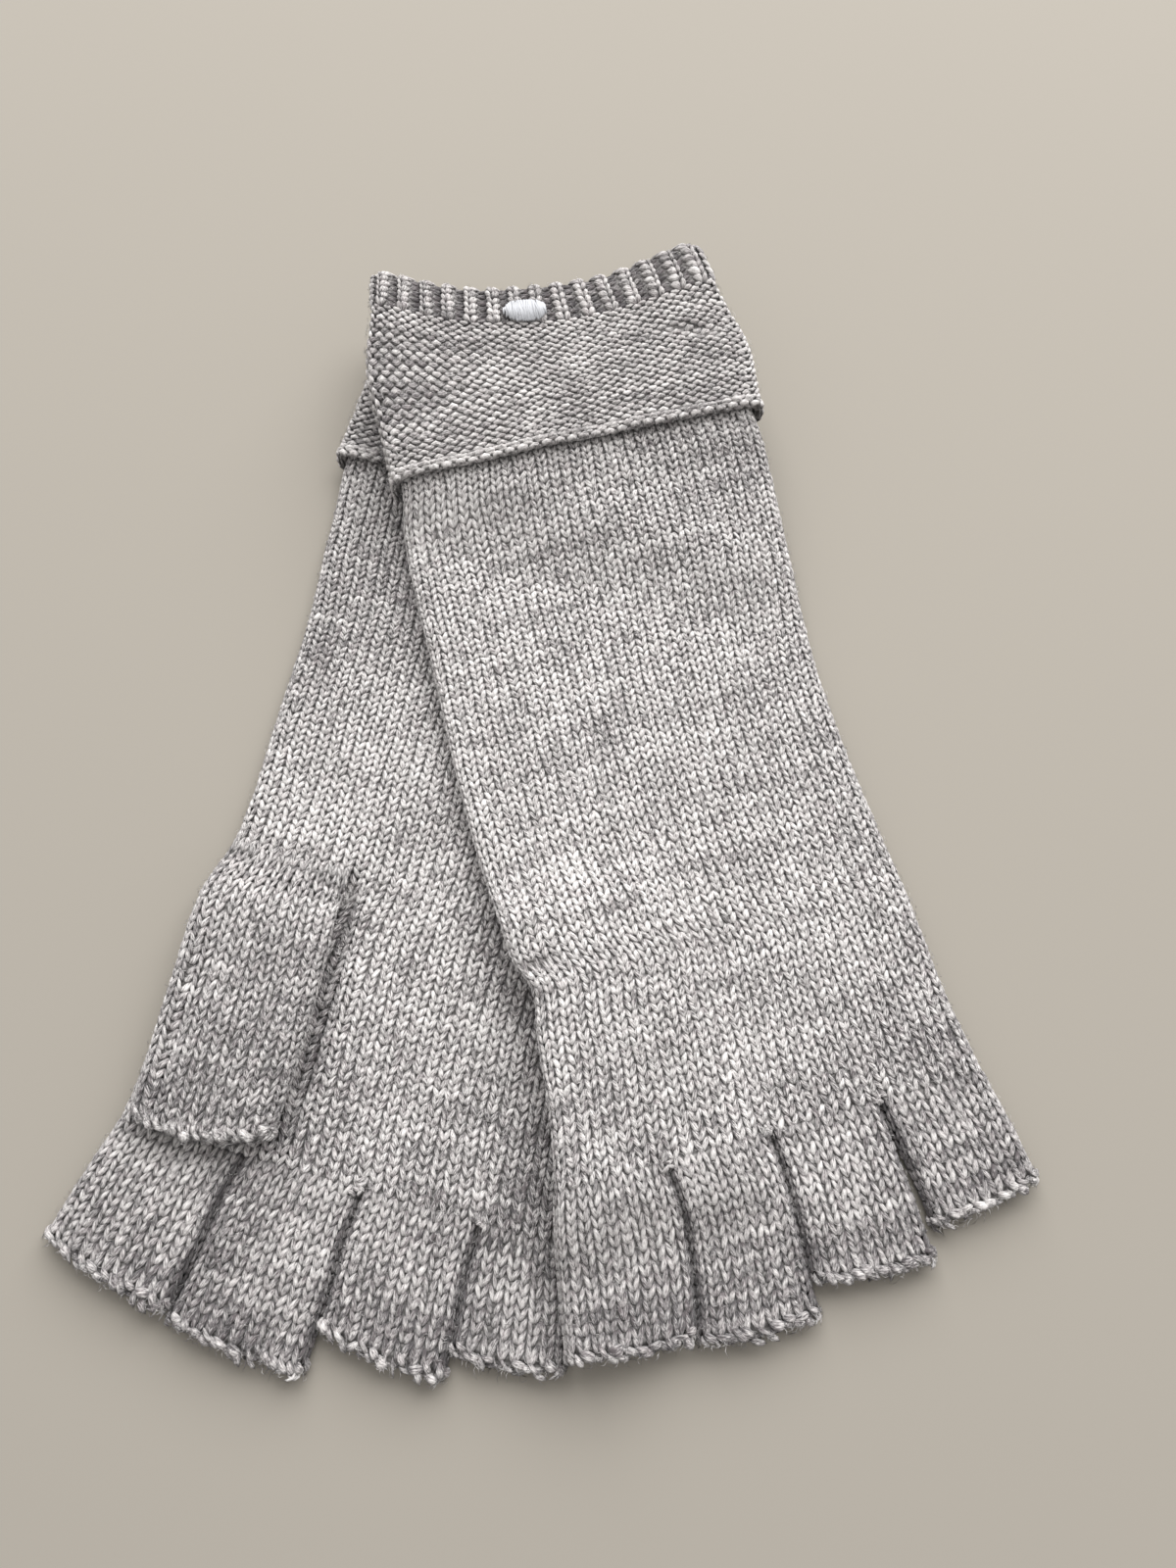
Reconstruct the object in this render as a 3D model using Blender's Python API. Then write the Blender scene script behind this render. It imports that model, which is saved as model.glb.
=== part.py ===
"""A pair of knitted fingerless gloves with long wrists and turned-back cuffs, laid one over the other.

The lower glove lies palm up, its thumb folded onto the palm. The upper glove lies palm down across it,
its thumb folded beneath the palm, and sags off the lower glove's edge to the table.
Each glove has its own flat frame in millimetres: u runs across the hand from the index side to the
little-finger side, and v runs along it, 0 at the finger crotches and negative towards the cuff.
Every piece is a flattened knitted tube: a wall of even thickness round a thin slot of air.
The scene is in metres, +Z up, with the table at Z = 0 and the origin under the middle of the pair.
"""

import math

import bmesh
import bpy
import numpy as np

MM = 0.001

# Cloth
WALL = 2.1  # one layer of the knit
SLOT = 0.4  # air between the two layers of a flat tube
GAP = 0.3  # between neighbouring pieces
TUBE = 2 * WALL + SLOT  # a glove lying flat
FINGER = 5.0  # a finger tube at its open end, a little rounder than the hand
THUMB = 4.8  # the thumb tube
EDGE_ROUND = 3.2  # how far in from its side edges a flat tube is rounded
TIP_ROUND = 0.8  # rounding of a wall's free edge

# Placing: each glove's turn about Z in degrees, and where the middle of its crotch line lies
PAIR_CENTRE = (-8.554, 79.554)
PLACES = {
    "lower": {"turn": -15.0, "x": -49.4, "y": -8.5},
    "upper": {"turn": 15.0, "x": 36.3, "y": 1.2},
}

# Side edges of the hand and the outer fingers, one row for each station along the glove
EDGE_COLUMNS = ("v", "lower_left", "lower_right", "upper_left", "upper_right")
EDGE_ROWS = (
    (-214.0, -46.0, 34.5, -31.0, 37.0),
    (-200.0, -47.5, 35.5, -34.6, 39.2),
    (-188.0, -49.0, 36.4, -38.6, 41.4),
    (-165.0, -49.9, 37.0, -39.6, 43.2),
    (-155.0, -50.1, 38.0, -40.2, 43.4),
    (-146.0, -49.6, 39.2, -42.4, 44.4),
    (-134.0, -48.6, 40.6, -43.1, 44.1),
    (-118.0, -46.7, 41.8, -43.2, 43.2),
    (-90.0, -45.5, 42.0, -43.8, 41.4),
    (-70.0, -44.6, 42.2, -43.6, 41.7),
    (-60.0, -45.0, 42.5, -43.0, 42.3),
    (-52.0, -46.6, 42.7, -42.2, 42.9),
    (-44.0, -47.2, 43.0, -41.4, 43.6),
    (-40.0, -47.2, 43.1, -39.6, 44.0),
    (-30.0, -46.9, 43.4, -40.5, 44.3),
    (-15.0, -46.9, 44.4, -42.0, 44.8),
    (0.0, -47.6, 47.0, -44.4, 46.6),
    (11.0, -50.4, 50.2, -46.9, 48.4),
    (22.0, -52.9, 52.4, -48.7, 49.7),
    (33.0, -54.6, 53.6, -50.2, 50.6),
)
CUFF_LOW = -155.5  # v of the turned-back cuff's free edge
CUFF_STATIONS = (-180, -172, -164)
HAND_STATIONS = {
    "lower": (-188, *CUFF_STATIONS, CUFF_LOW, -151, -145, -138, -120, -95, -70, -58, -46, -20, 0),
    "upper": (
        *(-188, *CUFF_STATIONS, CUFF_LOW, -151, -146, -141, -135, -125, -112, -98, -84, -72),
        *(-65, -60, -55, -50, -44, -40, -32, -22, -11, 0),
    ),
}
HAND_ACROSS = 12  # flat steps across a hand

# Slits between the fingers: their u at four stations from the crotches to past the ends
SLIT_V = (0.0, 11.0, 22.0, 33.0)
SLITS = {
    "lower": ((-20.4, -22.2, -23.3, -25.0), (4.5, 4.0, 4.2, 4.0), (29.0, 29.0, 29.9, 30.2)),
    "upper": ((-21.8, -21.0, -22.0, -24.4), (0.2, 0.9, 0.4, -0.2), (23.7, 24.6, 25.5, 26.0)),
}
SLIT_HALF = 0.15  # half the width of a slit at its crotch, and past the finger ends
SLIT_HALF_END = {"lower": (0.8, 0.7, 0.4), "upper": (0.35, 0.6, 1.5)}
FINGERS = ("index", "middle", "ring", "little")
FINGER_ENDS = {  # v at the left and right corner of each finger's end
    "lower": ((23.6, 30.6), (31.8, 34.4), (26.0, 28.4), (23.6, 20.8)),
    "upper": ((28.8, 32.2), (33.4, 34.4), (28.4, 30.4), (25.0, 21.4)),
}
FINGER_BULGE = 1.2  # how far a finger's end bows out between its corners
FINGER_STEPS = (0.0, 0.2, 0.45, 0.72)  # stations along a finger, as shares of its length
FINGER_ACROSS = 3

# Thumb, one row for each station: how far its left edge lies inside the hand's, and its right edge
THUMB_FOOT = -60.5
THUMB_COLUMNS = ("v", "inset", "right")
THUMB_ROWS = (
    (-61.0, 0.8, -18.4),
    (-53.0, 0.6, -17.2),
    (-45.0, 0.6, -16.0),
    (-35.0, 0.8, -15.2),
    (-20.0, 1.4, -14.6),
    (0.0, 3.2, -14.8),
)
THUMB_END = (-2.6, -6.2)  # v at the left and right corner
THUMB_BULGE = 2.9
THUMB_RISE = 14.0  # length over which the thumb comes up to its full thickness
THUMB_STEPS = (0.0, 0.05, 0.11, 0.18, 0.26, 0.4, 0.6, 0.8)
THUMB_SLOT_STEPS = (0.27, 0.6)
THUMB_ACROSS = 4
FOOT_THICK = 0.9

# Turned-back cuff
CUFF_TILT = {"lower": 0.0, "upper": 0.03}  # how much the upper cuff is turned on the wrist
CUFF_TOP = {  # the fold: v and u where it dips most, and how far each corner stands out beyond that
    "lower": {"v": -197.5, "u": -4.0, "left": 4.5, "right": 3.0},
    "upper": {"v": -197.6, "u": 14.0, "left": 10.5, "right": 4.0},
}
CORNER_REACH = 45.0  # from the dip to a corner of the fold
FADE_FROM = -160.0  # the fold's curve dies away between the fold and here
FADE_OVER = 28.0
RIB_LONG = 11.0  # length of the ribbed stretch below the fold
RIB_COUNT = 32  # ribs round the whole cuff
RIB_POINTS = 4  # points round each rib
RIB_HIGH = 0.55  # how far a rib stands above, and a furrow lies below, the cuff's surface
RIB_FLAT = 0.7  # below this share of the half thickness the ribs are pressed flat
RIB_EASE = 0.15  # the rib's plain inside lies this much further from the hand
CUFF_RAMP = 15.0  # the hand rises over this length to lie between the cuff's layers
UNDER_CUFF = GAP + WALL

# How the upper glove lies
FALL = 27.0  # it comes down to the table over this distance beyond the lower glove
CUFF_OVER = 2 * UNDER_CUFF + RIB_HIGH
CUFF_FALL = 22.0
FINGER_SWELL = 15.0  # length over which a finger comes to its full thickness
THUMB_FALL = 16.0  # the palm comes down beside and past the thumb over this distance
THUMB_CLEAR = 3.0  # and starts to come down this far from it
THUMB_EASE = 0.15
CURLS = {"left": 3.0, "right": 4.5}  # how far the corners of the upper cuff turn up

# Stitched mark on the cuff
MARK_CENTRE = (-1.8, -191.4)
MARK_HALF = (5.3, 2.9)
MARK_THICK = 0.8
MARK_RINGS = (0.55, 0.88, 1.0)
MARK_POINTS = 18

COLOURS = {
    "hand": (0.42, 0.41, 0.41),
    "finger": (0.38, 0.37, 0.37),
    "thumb": (0.37, 0.36, 0.36),
    "band": (0.33, 0.32, 0.32),
    "rib": (0.30, 0.29, 0.29),
    "mark": (0.85, 0.85, 0.84),
}


# ---------------------------------------------------------------- shape of the cloth


def smooth(t):
    """0 below 0, 1 above 1, and an even S between."""
    t = np.clip(t, 0.0, 1.0)
    return t * t * (3.0 - 2.0 * t)


def edge(glove, side, v):
    column = EDGE_COLUMNS.index(f"{glove}_{side}")
    rows = np.array(EDGE_ROWS)
    return np.interp(v, rows[:, 0], rows[:, column])


def to_table(glove, u, v):
    """Millimetres on the table for a place on a glove."""
    place = PLACES[glove]
    turn = math.radians(place["turn"])
    x = place["x"] + u * math.cos(turn) + v * math.sin(turn)
    y = place["y"] + u * math.sin(turn) - v * math.cos(turn)
    return x, y


def from_table(glove, x, y):
    """The place on a glove, extended, above a point of the table."""
    place = PLACES[glove]
    turn = math.radians(place["turn"])
    x = x - place["x"]
    y = y - place["y"]
    return x * math.cos(turn) + y * math.sin(turn), x * math.sin(turn) - y * math.cos(turn)


def course(glove, station):
    """The line of v against u that a row of stitches follows: straight on the hand, curved at the fold."""
    top = CUFF_TOP[glove]
    fade = smooth((FADE_FROM - station) / FADE_OVER)
    tilt = CUFF_TILT[glove] * smooth((CUFF_LOW + CUFF_RAMP - station) / CUFF_RAMP)

    def line(u):
        away = (u - top["u"]) / CORNER_REACH
        reach = np.where(away < 0.0, top["left"], top["right"])
        return station - fade * reach * away**2 + tilt * u

    return line


def in_cuff(v):
    """1 inside the turned-back cuff and 0 well outside it."""
    return smooth((CUFF_LOW + CUFF_RAMP - v) / (CUFF_RAMP - 2.0))


def finger_thick(v):
    return TUBE + (FINGER - TUBE) * smooth(v / FINGER_SWELL)


def over_lower(u, v):
    """Height of the table and the lower glove under a place on the upper glove, as soft cloth meets it."""
    x, y = to_table("upper", u, v)
    low_u, low_v = from_table("lower", x, y)
    cuff = smooth((CUFF_LOW + CUFF_FALL - low_v) / (CUFF_FALL - 1.0))
    inside = edge("lower", "right", low_v) + UNDER_CUFF * cuff - low_u
    height = finger_thick(low_v) + GAP + CUFF_OVER * cuff
    return height * smooth((inside + FALL) / (FALL + 1.5))


def thumb(column, v):
    rows = np.array(THUMB_ROWS)
    return np.interp(v, rows[:, 0], rows[:, THUMB_COLUMNS.index(column)])


def over_thumb(u, v):
    """1 where the upper glove's palm lies on its own thumb, falling to 0 round it."""
    foot = smooth((v - THUMB_FOOT + 2.0 * THUMB_CLEAR) / THUMB_FALL)
    end = smooth((THUMB_FALL + THUMB_CLEAR - v) / THUMB_FALL)
    beside = smooth((thumb("right", v) + THUMB_CLEAR + THUMB_FALL - u) / THUMB_FALL)
    return foot * end * beside


def curl(u, v):
    """How far the upper cuff's two corners turn up."""
    left = CURLS["left"] * smooth((-10.0 - u) / 30.0) * smooth((-172.0 - v) / 36.0)
    right = CURLS["right"] * smooth((u - 16.0) / 28.0) * smooth((-176.0 - v) / 22.0)
    return left + right


def underside(glove, u, v):
    """Height of the hand tube's lower face."""
    height = UNDER_CUFF * in_cuff(v)
    if glove == "upper":
        height = height + over_lower(u, v) + (THUMB + GAP) * over_thumb(u, v) + curl(u, v)
    return height


# ---------------------------------------------------------------- sections and rings


def rounding(a, width):
    """Share of the half thickness at a: a quarter circle at each side edge, 1 where the tube is flat."""
    inward = np.clip((1.0 - np.abs(a)) * width / (2.0 * EDGE_ROUND), 0.0, 1.0)
    return np.sqrt(1.0 - (1.0 - inward) ** 2)


def flat_section(width, across):
    """Points round a flattened tube as (a, p): a from -1 to 1 across it, p from -1 to 1 through it."""
    turn_in = np.array((0.0, 0.08, 0.36, 1.0)) * 2.0 * EDGE_ROUND / width
    inner = np.linspace(-1.0 + turn_in[-1], 1.0 - turn_in[-1], across + 1)[1:-1]
    a = np.concatenate((-1.0 + turn_in, inner, (1.0 - turn_in)[::-1]))
    p = rounding(a, width)
    return np.concatenate((a, a[-2:0:-1])), np.concatenate((p, -p[-2:0:-1]))


def even_section(width, thick, count):
    """As flat_section, with its points evenly spaced round the outline."""
    a = np.sin(np.linspace(-0.5, 0.5, 801) * math.pi)
    p = rounding(a, width)
    a = np.concatenate((a, a[-2::-1]))
    p = np.concatenate((p, -p[-2::-1]))
    steps = np.hypot(np.diff(a) * width / 2.0, np.diff(p) * thick / 2.0)
    run = np.concatenate(([0.0], np.cumsum(steps)))
    places = np.arange(count) / count * run[-1]
    return np.interp(places, run, a), np.interp(places, run, p)


def ring(section, line, sides, faces, grow=0.0):
    """One loop round a tube, in millimetres: line gives v from u, sides the two edges at v, faces the two
    heights at (u, v). grow moves it outwards from the tube's outer surface."""
    a, p = section
    v = line(np.zeros_like(a))
    for _ in range(4):
        left, right = sides(v)
        u = (left + right) / 2.0 + a * ((right - left) / 2.0 + grow)
        v = line(u)
    bottom, top = faces(u, v)
    z = (bottom + top) / 2.0 + p * ((top - bottom) / 2.0 + grow)
    return np.stack((u, -v, z), axis=-1)


def solid(name, glove, rings, colour, tube=True):
    """A closed body through its rings. A tube's last ring joins its first; otherwise both ends are capped."""
    count = len(rings[0])
    mesh = bpy.data.meshes.new(name)
    form = bmesh.new()
    loops = [[form.verts.new(point * MM) for point in points] for points in rings]
    pairs = list(zip(loops, loops[1:] + loops[:1])) if tube else list(zip(loops, loops[1:]))
    for one, other in pairs:
        for j in range(count):
            after = (j + 1) % count
            form.faces.new((one[j], one[after], other[after]))
            form.faces.new((one[j], other[after], other[j]))
    if not tube:
        for loop in (loops[0], loops[-1]):
            cap(form, loop)
    bmesh.ops.recalc_face_normals(form, faces=form.faces)
    bmesh.ops.triangulate(form, faces=form.faces)
    form.to_mesh(mesh)
    form.free()
    mesh.shade_smooth()
    mesh.set_sharp_from_angle(angle=math.radians(50.0))
    return place(name, glove, mesh, colour)


def cap(form, loop):
    """Fills a flat loop with strips from its upper half to its lower half."""
    count = len(loop)
    for j in range(count // 2):
        corners = (loop[j], loop[j + 1], loop[(count - j - 1) % count], loop[(count - j) % count])
        form.faces.new(tuple(dict.fromkeys(corners)))


def place(name, glove, mesh, colour):
    """Puts a glove's piece on the table and gives it its own knit material."""
    piece = bpy.data.objects.new(f"{glove}_{name}", mesh)
    spot = PLACES[glove]
    piece.rotation_euler = (0.0, 0.0, math.radians(spot["turn"]))
    piece.location = ((spot["x"] - PAIR_CENTRE[0]) * MM, (spot["y"] - PAIR_CENTRE[1]) * MM, 0.0)
    bpy.context.collection.objects.link(piece)
    knit = bpy.data.materials.new(f"{glove}_{name}")
    knit.use_nodes = True
    shader = knit.node_tree.nodes["Principled BSDF"]
    shader.inputs["Base Color"].default_value = (*COLOURS[colour], 1.0)
    shader.inputs["Roughness"].default_value = 0.95
    shader.inputs["Metallic"].default_value = 0.0
    piece.data.materials.append(knit)
    return piece


# ---------------------------------------------------------------- pieces


def hand_sides(glove):
    return lambda v: (edge(glove, "left", v), edge(glove, "right", v))


def hand_faces(glove):
    def faces(u, v):
        bottom = underside(glove, u, v)
        return bottom, bottom + TUBE

    return faces


def hand_width(glove):
    return edge(glove, "right", -90.0) - edge(glove, "left", -90.0)


def make_hand(glove):
    """The hand and wrist: a flat tube from inside the fold to the finger crotches."""
    sides, faces = hand_sides(glove), hand_faces(glove)
    section = flat_section(hand_width(glove), HAND_ACROSS)
    start = CUFF_TOP[glove]["v"] + WALL + GAP
    stations = (start, *HAND_STATIONS[glove])
    outer = [ring(section, course(glove, s), sides, faces) for s in stations]
    inside = (stations[0], *stations[2:-1:2], stations[-1])
    inner = [ring(section, course(glove, s), sides, faces, -WALL) for s in inside[::-1]]
    solid("hand", glove, outer + inner, "hand")


def end_line(corners, bulge, left, right, back=0.0):
    """v along a tube's open end, bowed out between its two corners."""

    def line(u):
        share = np.clip((u - left) / (right - left), 0.0, 1.0)
        bow = bulge * (1.0 - (2.0 * share - 1.0) ** 2)
        return corners[0] + (corners[1] - corners[0]) * share + bow - back

    return line


def between(foot, end, share):
    return lambda u: foot + (end(u) - foot) * share


def finger_sides(glove, number):
    """The edges of a finger, from the slits beside it or the hand's own edges."""

    def slit(v, which, side):
        half = np.interp(v, (SLIT_V[0], SLIT_V[-1]), (SLIT_HALF, SLIT_HALF_END[glove][which]))
        return np.interp(v, SLIT_V, SLITS[glove][which]) + side * half

    def sides(v):
        left = slit(v, number - 1, 1.0) if number > 0 else edge(glove, "left", v)
        right = slit(v, number, -1.0) if number < len(SLITS[glove]) else edge(glove, "right", v)
        return left, right

    return sides


def make_finger(glove, number):
    """A half-finger: a short flat tube, cast off open."""

    def faces(u, v):
        bottom = underside(glove, u, v)
        return bottom, bottom + finger_thick(v)

    sides = finger_sides(glove, number)
    corners = FINGER_ENDS[glove][number]
    left, right = sides(np.mean(corners))
    section = flat_section(right - left, FINGER_ACROSS)
    end = end_line(corners, FINGER_BULGE, left, right)
    brim = end_line(corners, FINGER_BULGE, left, right, TIP_ROUND)
    lines = [between(GAP, brim, share) for share in FINGER_STEPS]
    rings = [ring(section, line, sides, faces) for line in (*lines, brim)]
    rings.append(ring(section, end, sides, faces, -TIP_ROUND))
    rings += [ring(section, line, sides, faces, -WALL) for line in (brim, lines[2], lines[0])]
    solid(FINGERS[number], glove, rings, "finger")


def make_thumb(glove):
    """The half-thumb on the palm: a flat tube with one open end, thinning to where it leaves the palm."""

    def sides(v):
        return edge(glove, "left", v) + thumb("inset", v), thumb("right", v)

    def faces(u, v):
        if glove == "upper":
            return over_lower(u, v), underside(glove, u, v) - GAP - THUMB_EASE
        bottom = underside(glove, u, v) + TUBE + GAP
        thick = FOOT_THICK + (THUMB - FOOT_THICK) * smooth((v - THUMB_FOOT) / THUMB_RISE)
        return bottom, bottom + thick

    left, right = sides(np.mean(THUMB_END))
    section = flat_section(right - left, THUMB_ACROSS)
    end = end_line(THUMB_END, THUMB_BULGE, left, right)
    brim = end_line(THUMB_END, THUMB_BULGE, left, right, TIP_ROUND)
    slot = [between(THUMB_FOOT, brim, share) for share in THUMB_SLOT_STEPS]
    lines = [between(THUMB_FOOT, brim, share) for share in THUMB_STEPS]
    rings = [ring(section, line, sides, faces, -WALL) for line in (*slot, brim)]
    rings.append(ring(section, end, sides, faces, -TIP_ROUND))
    rings += [ring(section, line, sides, faces) for line in (brim, *lines[::-1])]
    solid("thumb", glove, rings, "thumb", tube=False)


def make_cuff_band(glove):
    """The plain band of the turned-back cuff: a wide flat tube round the wrist."""
    high = CUFF_TOP[glove]["v"] + RIB_LONG + GAP
    profile = (
        (CUFF_LOW, GAP),
        (CUFF_LOW, UNDER_CUFF - TIP_ROUND),
        (CUFF_LOW - TIP_ROUND, UNDER_CUFF),
        *((station, UNDER_CUFF) for station in CUFF_STATIONS[::-1]),
        (high, UNDER_CUFF),
        (high, GAP),
        *((station, GAP) for station in CUFF_STATIONS),
    )
    section = flat_section(hand_width(glove), HAND_ACROSS)
    sides, faces = hand_sides(glove), hand_faces(glove)
    rings = [ring(section, course(glove, s), sides, faces, grow) for s, grow in profile]
    solid("cuff_band", glove, rings, "band")


def make_cuff_rib(glove):
    """The ribbed stretch at the fold: it wraps over the end of the hand tube into the slot.

    Each row of the profile gives the distance from the fold, the offset from the hand and the share of
    the rib's height."""
    top = CUFF_TOP[glove]["v"]
    profile = (
        (RIB_LONG, UNDER_CUFF, 0.0),
        (RIB_LONG - 1.6, UNDER_CUFF, 1.0),
        (1.5, UNDER_CUFF - 0.2, 1.0),
        (0.3, 0.9, 0.8),
        (0.0, -0.6, 0.5),
        (1.2, -WALL, 0.0),
        (WALL, -WALL, 0.0),
        (WALL, GAP + RIB_EASE, 0.0),
        (RIB_LONG, GAP + RIB_EASE, 0.0),
    )
    width = hand_width(glove)
    count = RIB_COUNT * RIB_POINTS
    section = even_section(width, TUBE + 2.0 * UNDER_CUFF, count)
    wave = RIB_HIGH * np.cos(2.0 * math.pi * RIB_COUNT * np.arange(count) / count)
    wave *= section[1] > -RIB_FLAT
    sides, faces = hand_sides(glove), hand_faces(glove)
    rings = []
    for down, grow, share in profile:
        rings.append(ring(section, course(glove, top + down), sides, faces, grow + share * wave))
    solid("cuff_rib", glove, rings, "rib")


def make_mark():
    """A small oval of white stitching on the upper cuff, made from the cuff's own surface."""
    turn = 2.0 * math.pi * np.arange(MARK_POINTS) / MARK_POINTS
    rim = np.stack((np.cos(turn) * MARK_HALF[0], np.sin(turn) * MARK_HALF[1]), axis=-1)
    lift = TUBE + UNDER_CUFF + RIB_HIGH + GAP

    def level(places, height):
        u, v = places[:, 0] + MARK_CENTRE[0], places[:, 1] + MARK_CENTRE[1]
        return np.stack((u, -v, underside("upper", u, v) + lift + height), axis=-1)

    heights = [MARK_THICK * math.sqrt(1.0 - 0.7 * share**2) for share in MARK_RINGS]
    rings = [level(rim * MARK_RINGS[0], 0.0), level(rim, 0.0)]
    rings += [level(rim * share, height) for share, height in zip(MARK_RINGS[::-1], heights[::-1])]
    solid("mark", "upper", rings, "mark", tube=False)


def main():
    for old in list(bpy.data.objects):
        bpy.data.objects.remove(old, do_unlink=True)
    for glove in PLACES:
        make_hand(glove)
        for number in range(len(FINGERS)):
            make_finger(glove, number)
        make_thumb(glove)
        make_cuff_band(glove)
        make_cuff_rib(glove)
    make_mark()


main()
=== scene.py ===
"""A pair of knitted fingerless gloves, stitch by stitch: cloth walls, yarn loops, cast-off edges and fuzz.

The lower glove lies palm up with its thumb on the palm. The upper one lies across it, palm down.
Each glove has its own flat frame in millimetres: u runs across the hand, and v along it, 0 at the
finger crotches and negative towards the turned-back cuff. The scene is in metres, +Z up.
Every knitted tube is a Fabric: a surface on which wale i round it and course j along it has its place.
Yarn is laid on it as short strands, each a small tapered tube along a path in wales and courses.
Lengths are in millimetres and turns in degrees where nothing else is said. Lightness goes from 0 to 1.
"""

import math

import bpy
import numpy as np
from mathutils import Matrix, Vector


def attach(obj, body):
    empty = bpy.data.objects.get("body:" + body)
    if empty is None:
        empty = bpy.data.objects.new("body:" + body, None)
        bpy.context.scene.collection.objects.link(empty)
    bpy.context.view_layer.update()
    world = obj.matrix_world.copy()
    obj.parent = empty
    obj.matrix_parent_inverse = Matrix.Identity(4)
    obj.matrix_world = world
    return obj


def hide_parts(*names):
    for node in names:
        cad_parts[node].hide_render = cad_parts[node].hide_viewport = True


bl_info = {
    "name": "Knitted Fingerless Gloves",
    "version": (1, 0, 0),
    "blender": (4, 5, 0),
    "location": "3D View > Sidebar > Gloves",
    "description": "Knits a pair of grey marl fingerless gloves, lying flat one across the other",
    "category": "Add Mesh",
}

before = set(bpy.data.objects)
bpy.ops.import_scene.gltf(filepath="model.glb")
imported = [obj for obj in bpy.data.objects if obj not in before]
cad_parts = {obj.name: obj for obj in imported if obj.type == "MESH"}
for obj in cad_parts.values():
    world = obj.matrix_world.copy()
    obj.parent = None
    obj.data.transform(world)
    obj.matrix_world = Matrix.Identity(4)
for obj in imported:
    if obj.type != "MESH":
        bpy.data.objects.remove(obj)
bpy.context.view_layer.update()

MM = 0.001
TINY = 1e-9
ROUNDS = 4  # of finding u and v that depend on each other
GLOVES = ("lower", "upper")

# ---------------------------------------------------------------- sizes of the tubes

# These are the solids' own sizes
WALL = 2.1  # a cloth wall
SLOT = 0.4  # between the two walls of a flat tube
GAP = 0.3  # between neighbouring pieces
TUBE = 2 * WALL + SLOT  # a glove lying flat
FINGER = 5.0  # a finger tube at its open end, a little rounder than the hand
THUMB = 4.8  # the thumb tube

# Placing: each glove's turn about Z, and where the middle of its crotch line lies
PAIR_CENTRE = (-8.554, 79.554)
PLACES = {
    "lower": {"turn": -15.0, "x": -49.4, "y": -8.5},
    "upper": {"turn": 15.0, "x": 36.3, "y": 1.2},
}

# Side edges of the hand and the outer fingers, one row for each station along the glove
EDGE_COLUMNS = ("v", "lower_left", "lower_right", "upper_left", "upper_right")
EDGE_ROWS = (
    (-214.0, -46.0, 34.5, -31.0, 37.0),
    (-200.0, -47.5, 35.5, -34.6, 39.2),
    (-188.0, -49.0, 36.4, -38.6, 41.4),
    (-165.0, -49.9, 37.0, -39.6, 43.2),
    (-155.0, -50.1, 38.0, -40.2, 43.4),
    (-146.0, -49.6, 39.2, -42.4, 44.4),
    (-134.0, -48.6, 40.6, -43.1, 44.1),
    (-118.0, -46.7, 41.8, -43.2, 43.2),
    (-90.0, -45.5, 42.0, -43.8, 41.4),
    (-70.0, -44.6, 42.2, -43.6, 41.7),
    (-60.0, -45.0, 42.5, -43.0, 42.3),
    (-52.0, -46.6, 42.7, -42.2, 42.9),
    (-44.0, -47.2, 43.0, -41.4, 43.6),
    (-40.0, -47.2, 43.1, -39.6, 44.0),
    (-30.0, -46.9, 43.4, -40.5, 44.3),
    (-15.0, -46.9, 44.4, -42.0, 44.8),
    (0.0, -47.6, 47.0, -44.4, 46.6),
    (11.0, -50.4, 50.2, -46.9, 48.4),
    (22.0, -52.9, 52.4, -48.7, 49.7),
    (33.0, -54.6, 53.6, -50.2, 50.6),
)
WRIST_V = -90.0
CUFF_LOW = -155.5  # v of the turned-back cuff's free edge

# Slits between the fingers: their u at four stations from the crotches to past the ends
SLIT_V = (0.0, 11.0, 22.0, 33.0)
SLITS = {
    "lower": ((-20.4, -22.2, -23.3, -25.0), (4.5, 4.0, 4.2, 4.0), (29.0, 29.0, 29.9, 30.2)),
    "upper": ((-21.8, -21.0, -22.0, -24.4), (0.2, 0.9, 0.4, -0.2), (23.7, 24.6, 25.5, 26.0)),
}
FINGERS = ("index", "middle", "ring", "little")
FINGER_ENDS = {  # v at the left and right corner of each finger's end
    "lower": ((23.6, 30.6), (31.8, 34.4), (26.0, 28.4), (23.6, 20.8)),
    "upper": ((28.8, 32.2), (33.4, 34.4), (28.4, 30.4), (25.0, 21.4)),
}
FINGER_BULGE = 1.2  # how far a finger's end bows out between its corners
FINGER_SWELL = 15.0  # length over which a finger comes to its full thickness

# Thumb, one row for each station: how far its left edge lies inside the hand's, and its right edge
THUMB_FOOT = -60.5
THUMB_COLUMNS = ("v", "inset", "right")
THUMB_ROWS = (
    (-61.0, 0.8, -18.4),
    (-53.0, 0.6, -17.2),
    (-45.0, 0.6, -16.0),
    (-35.0, 0.8, -15.2),
    (-20.0, 1.4, -14.6),
    (0.0, 3.2, -14.8),
)
THUMB_END = (-2.6, -6.2)  # v at the left and right corner
THUMB_BULGE = 2.9
THUMB_RISE = 14.0  # length over which the thumb comes up to its full thickness

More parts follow.
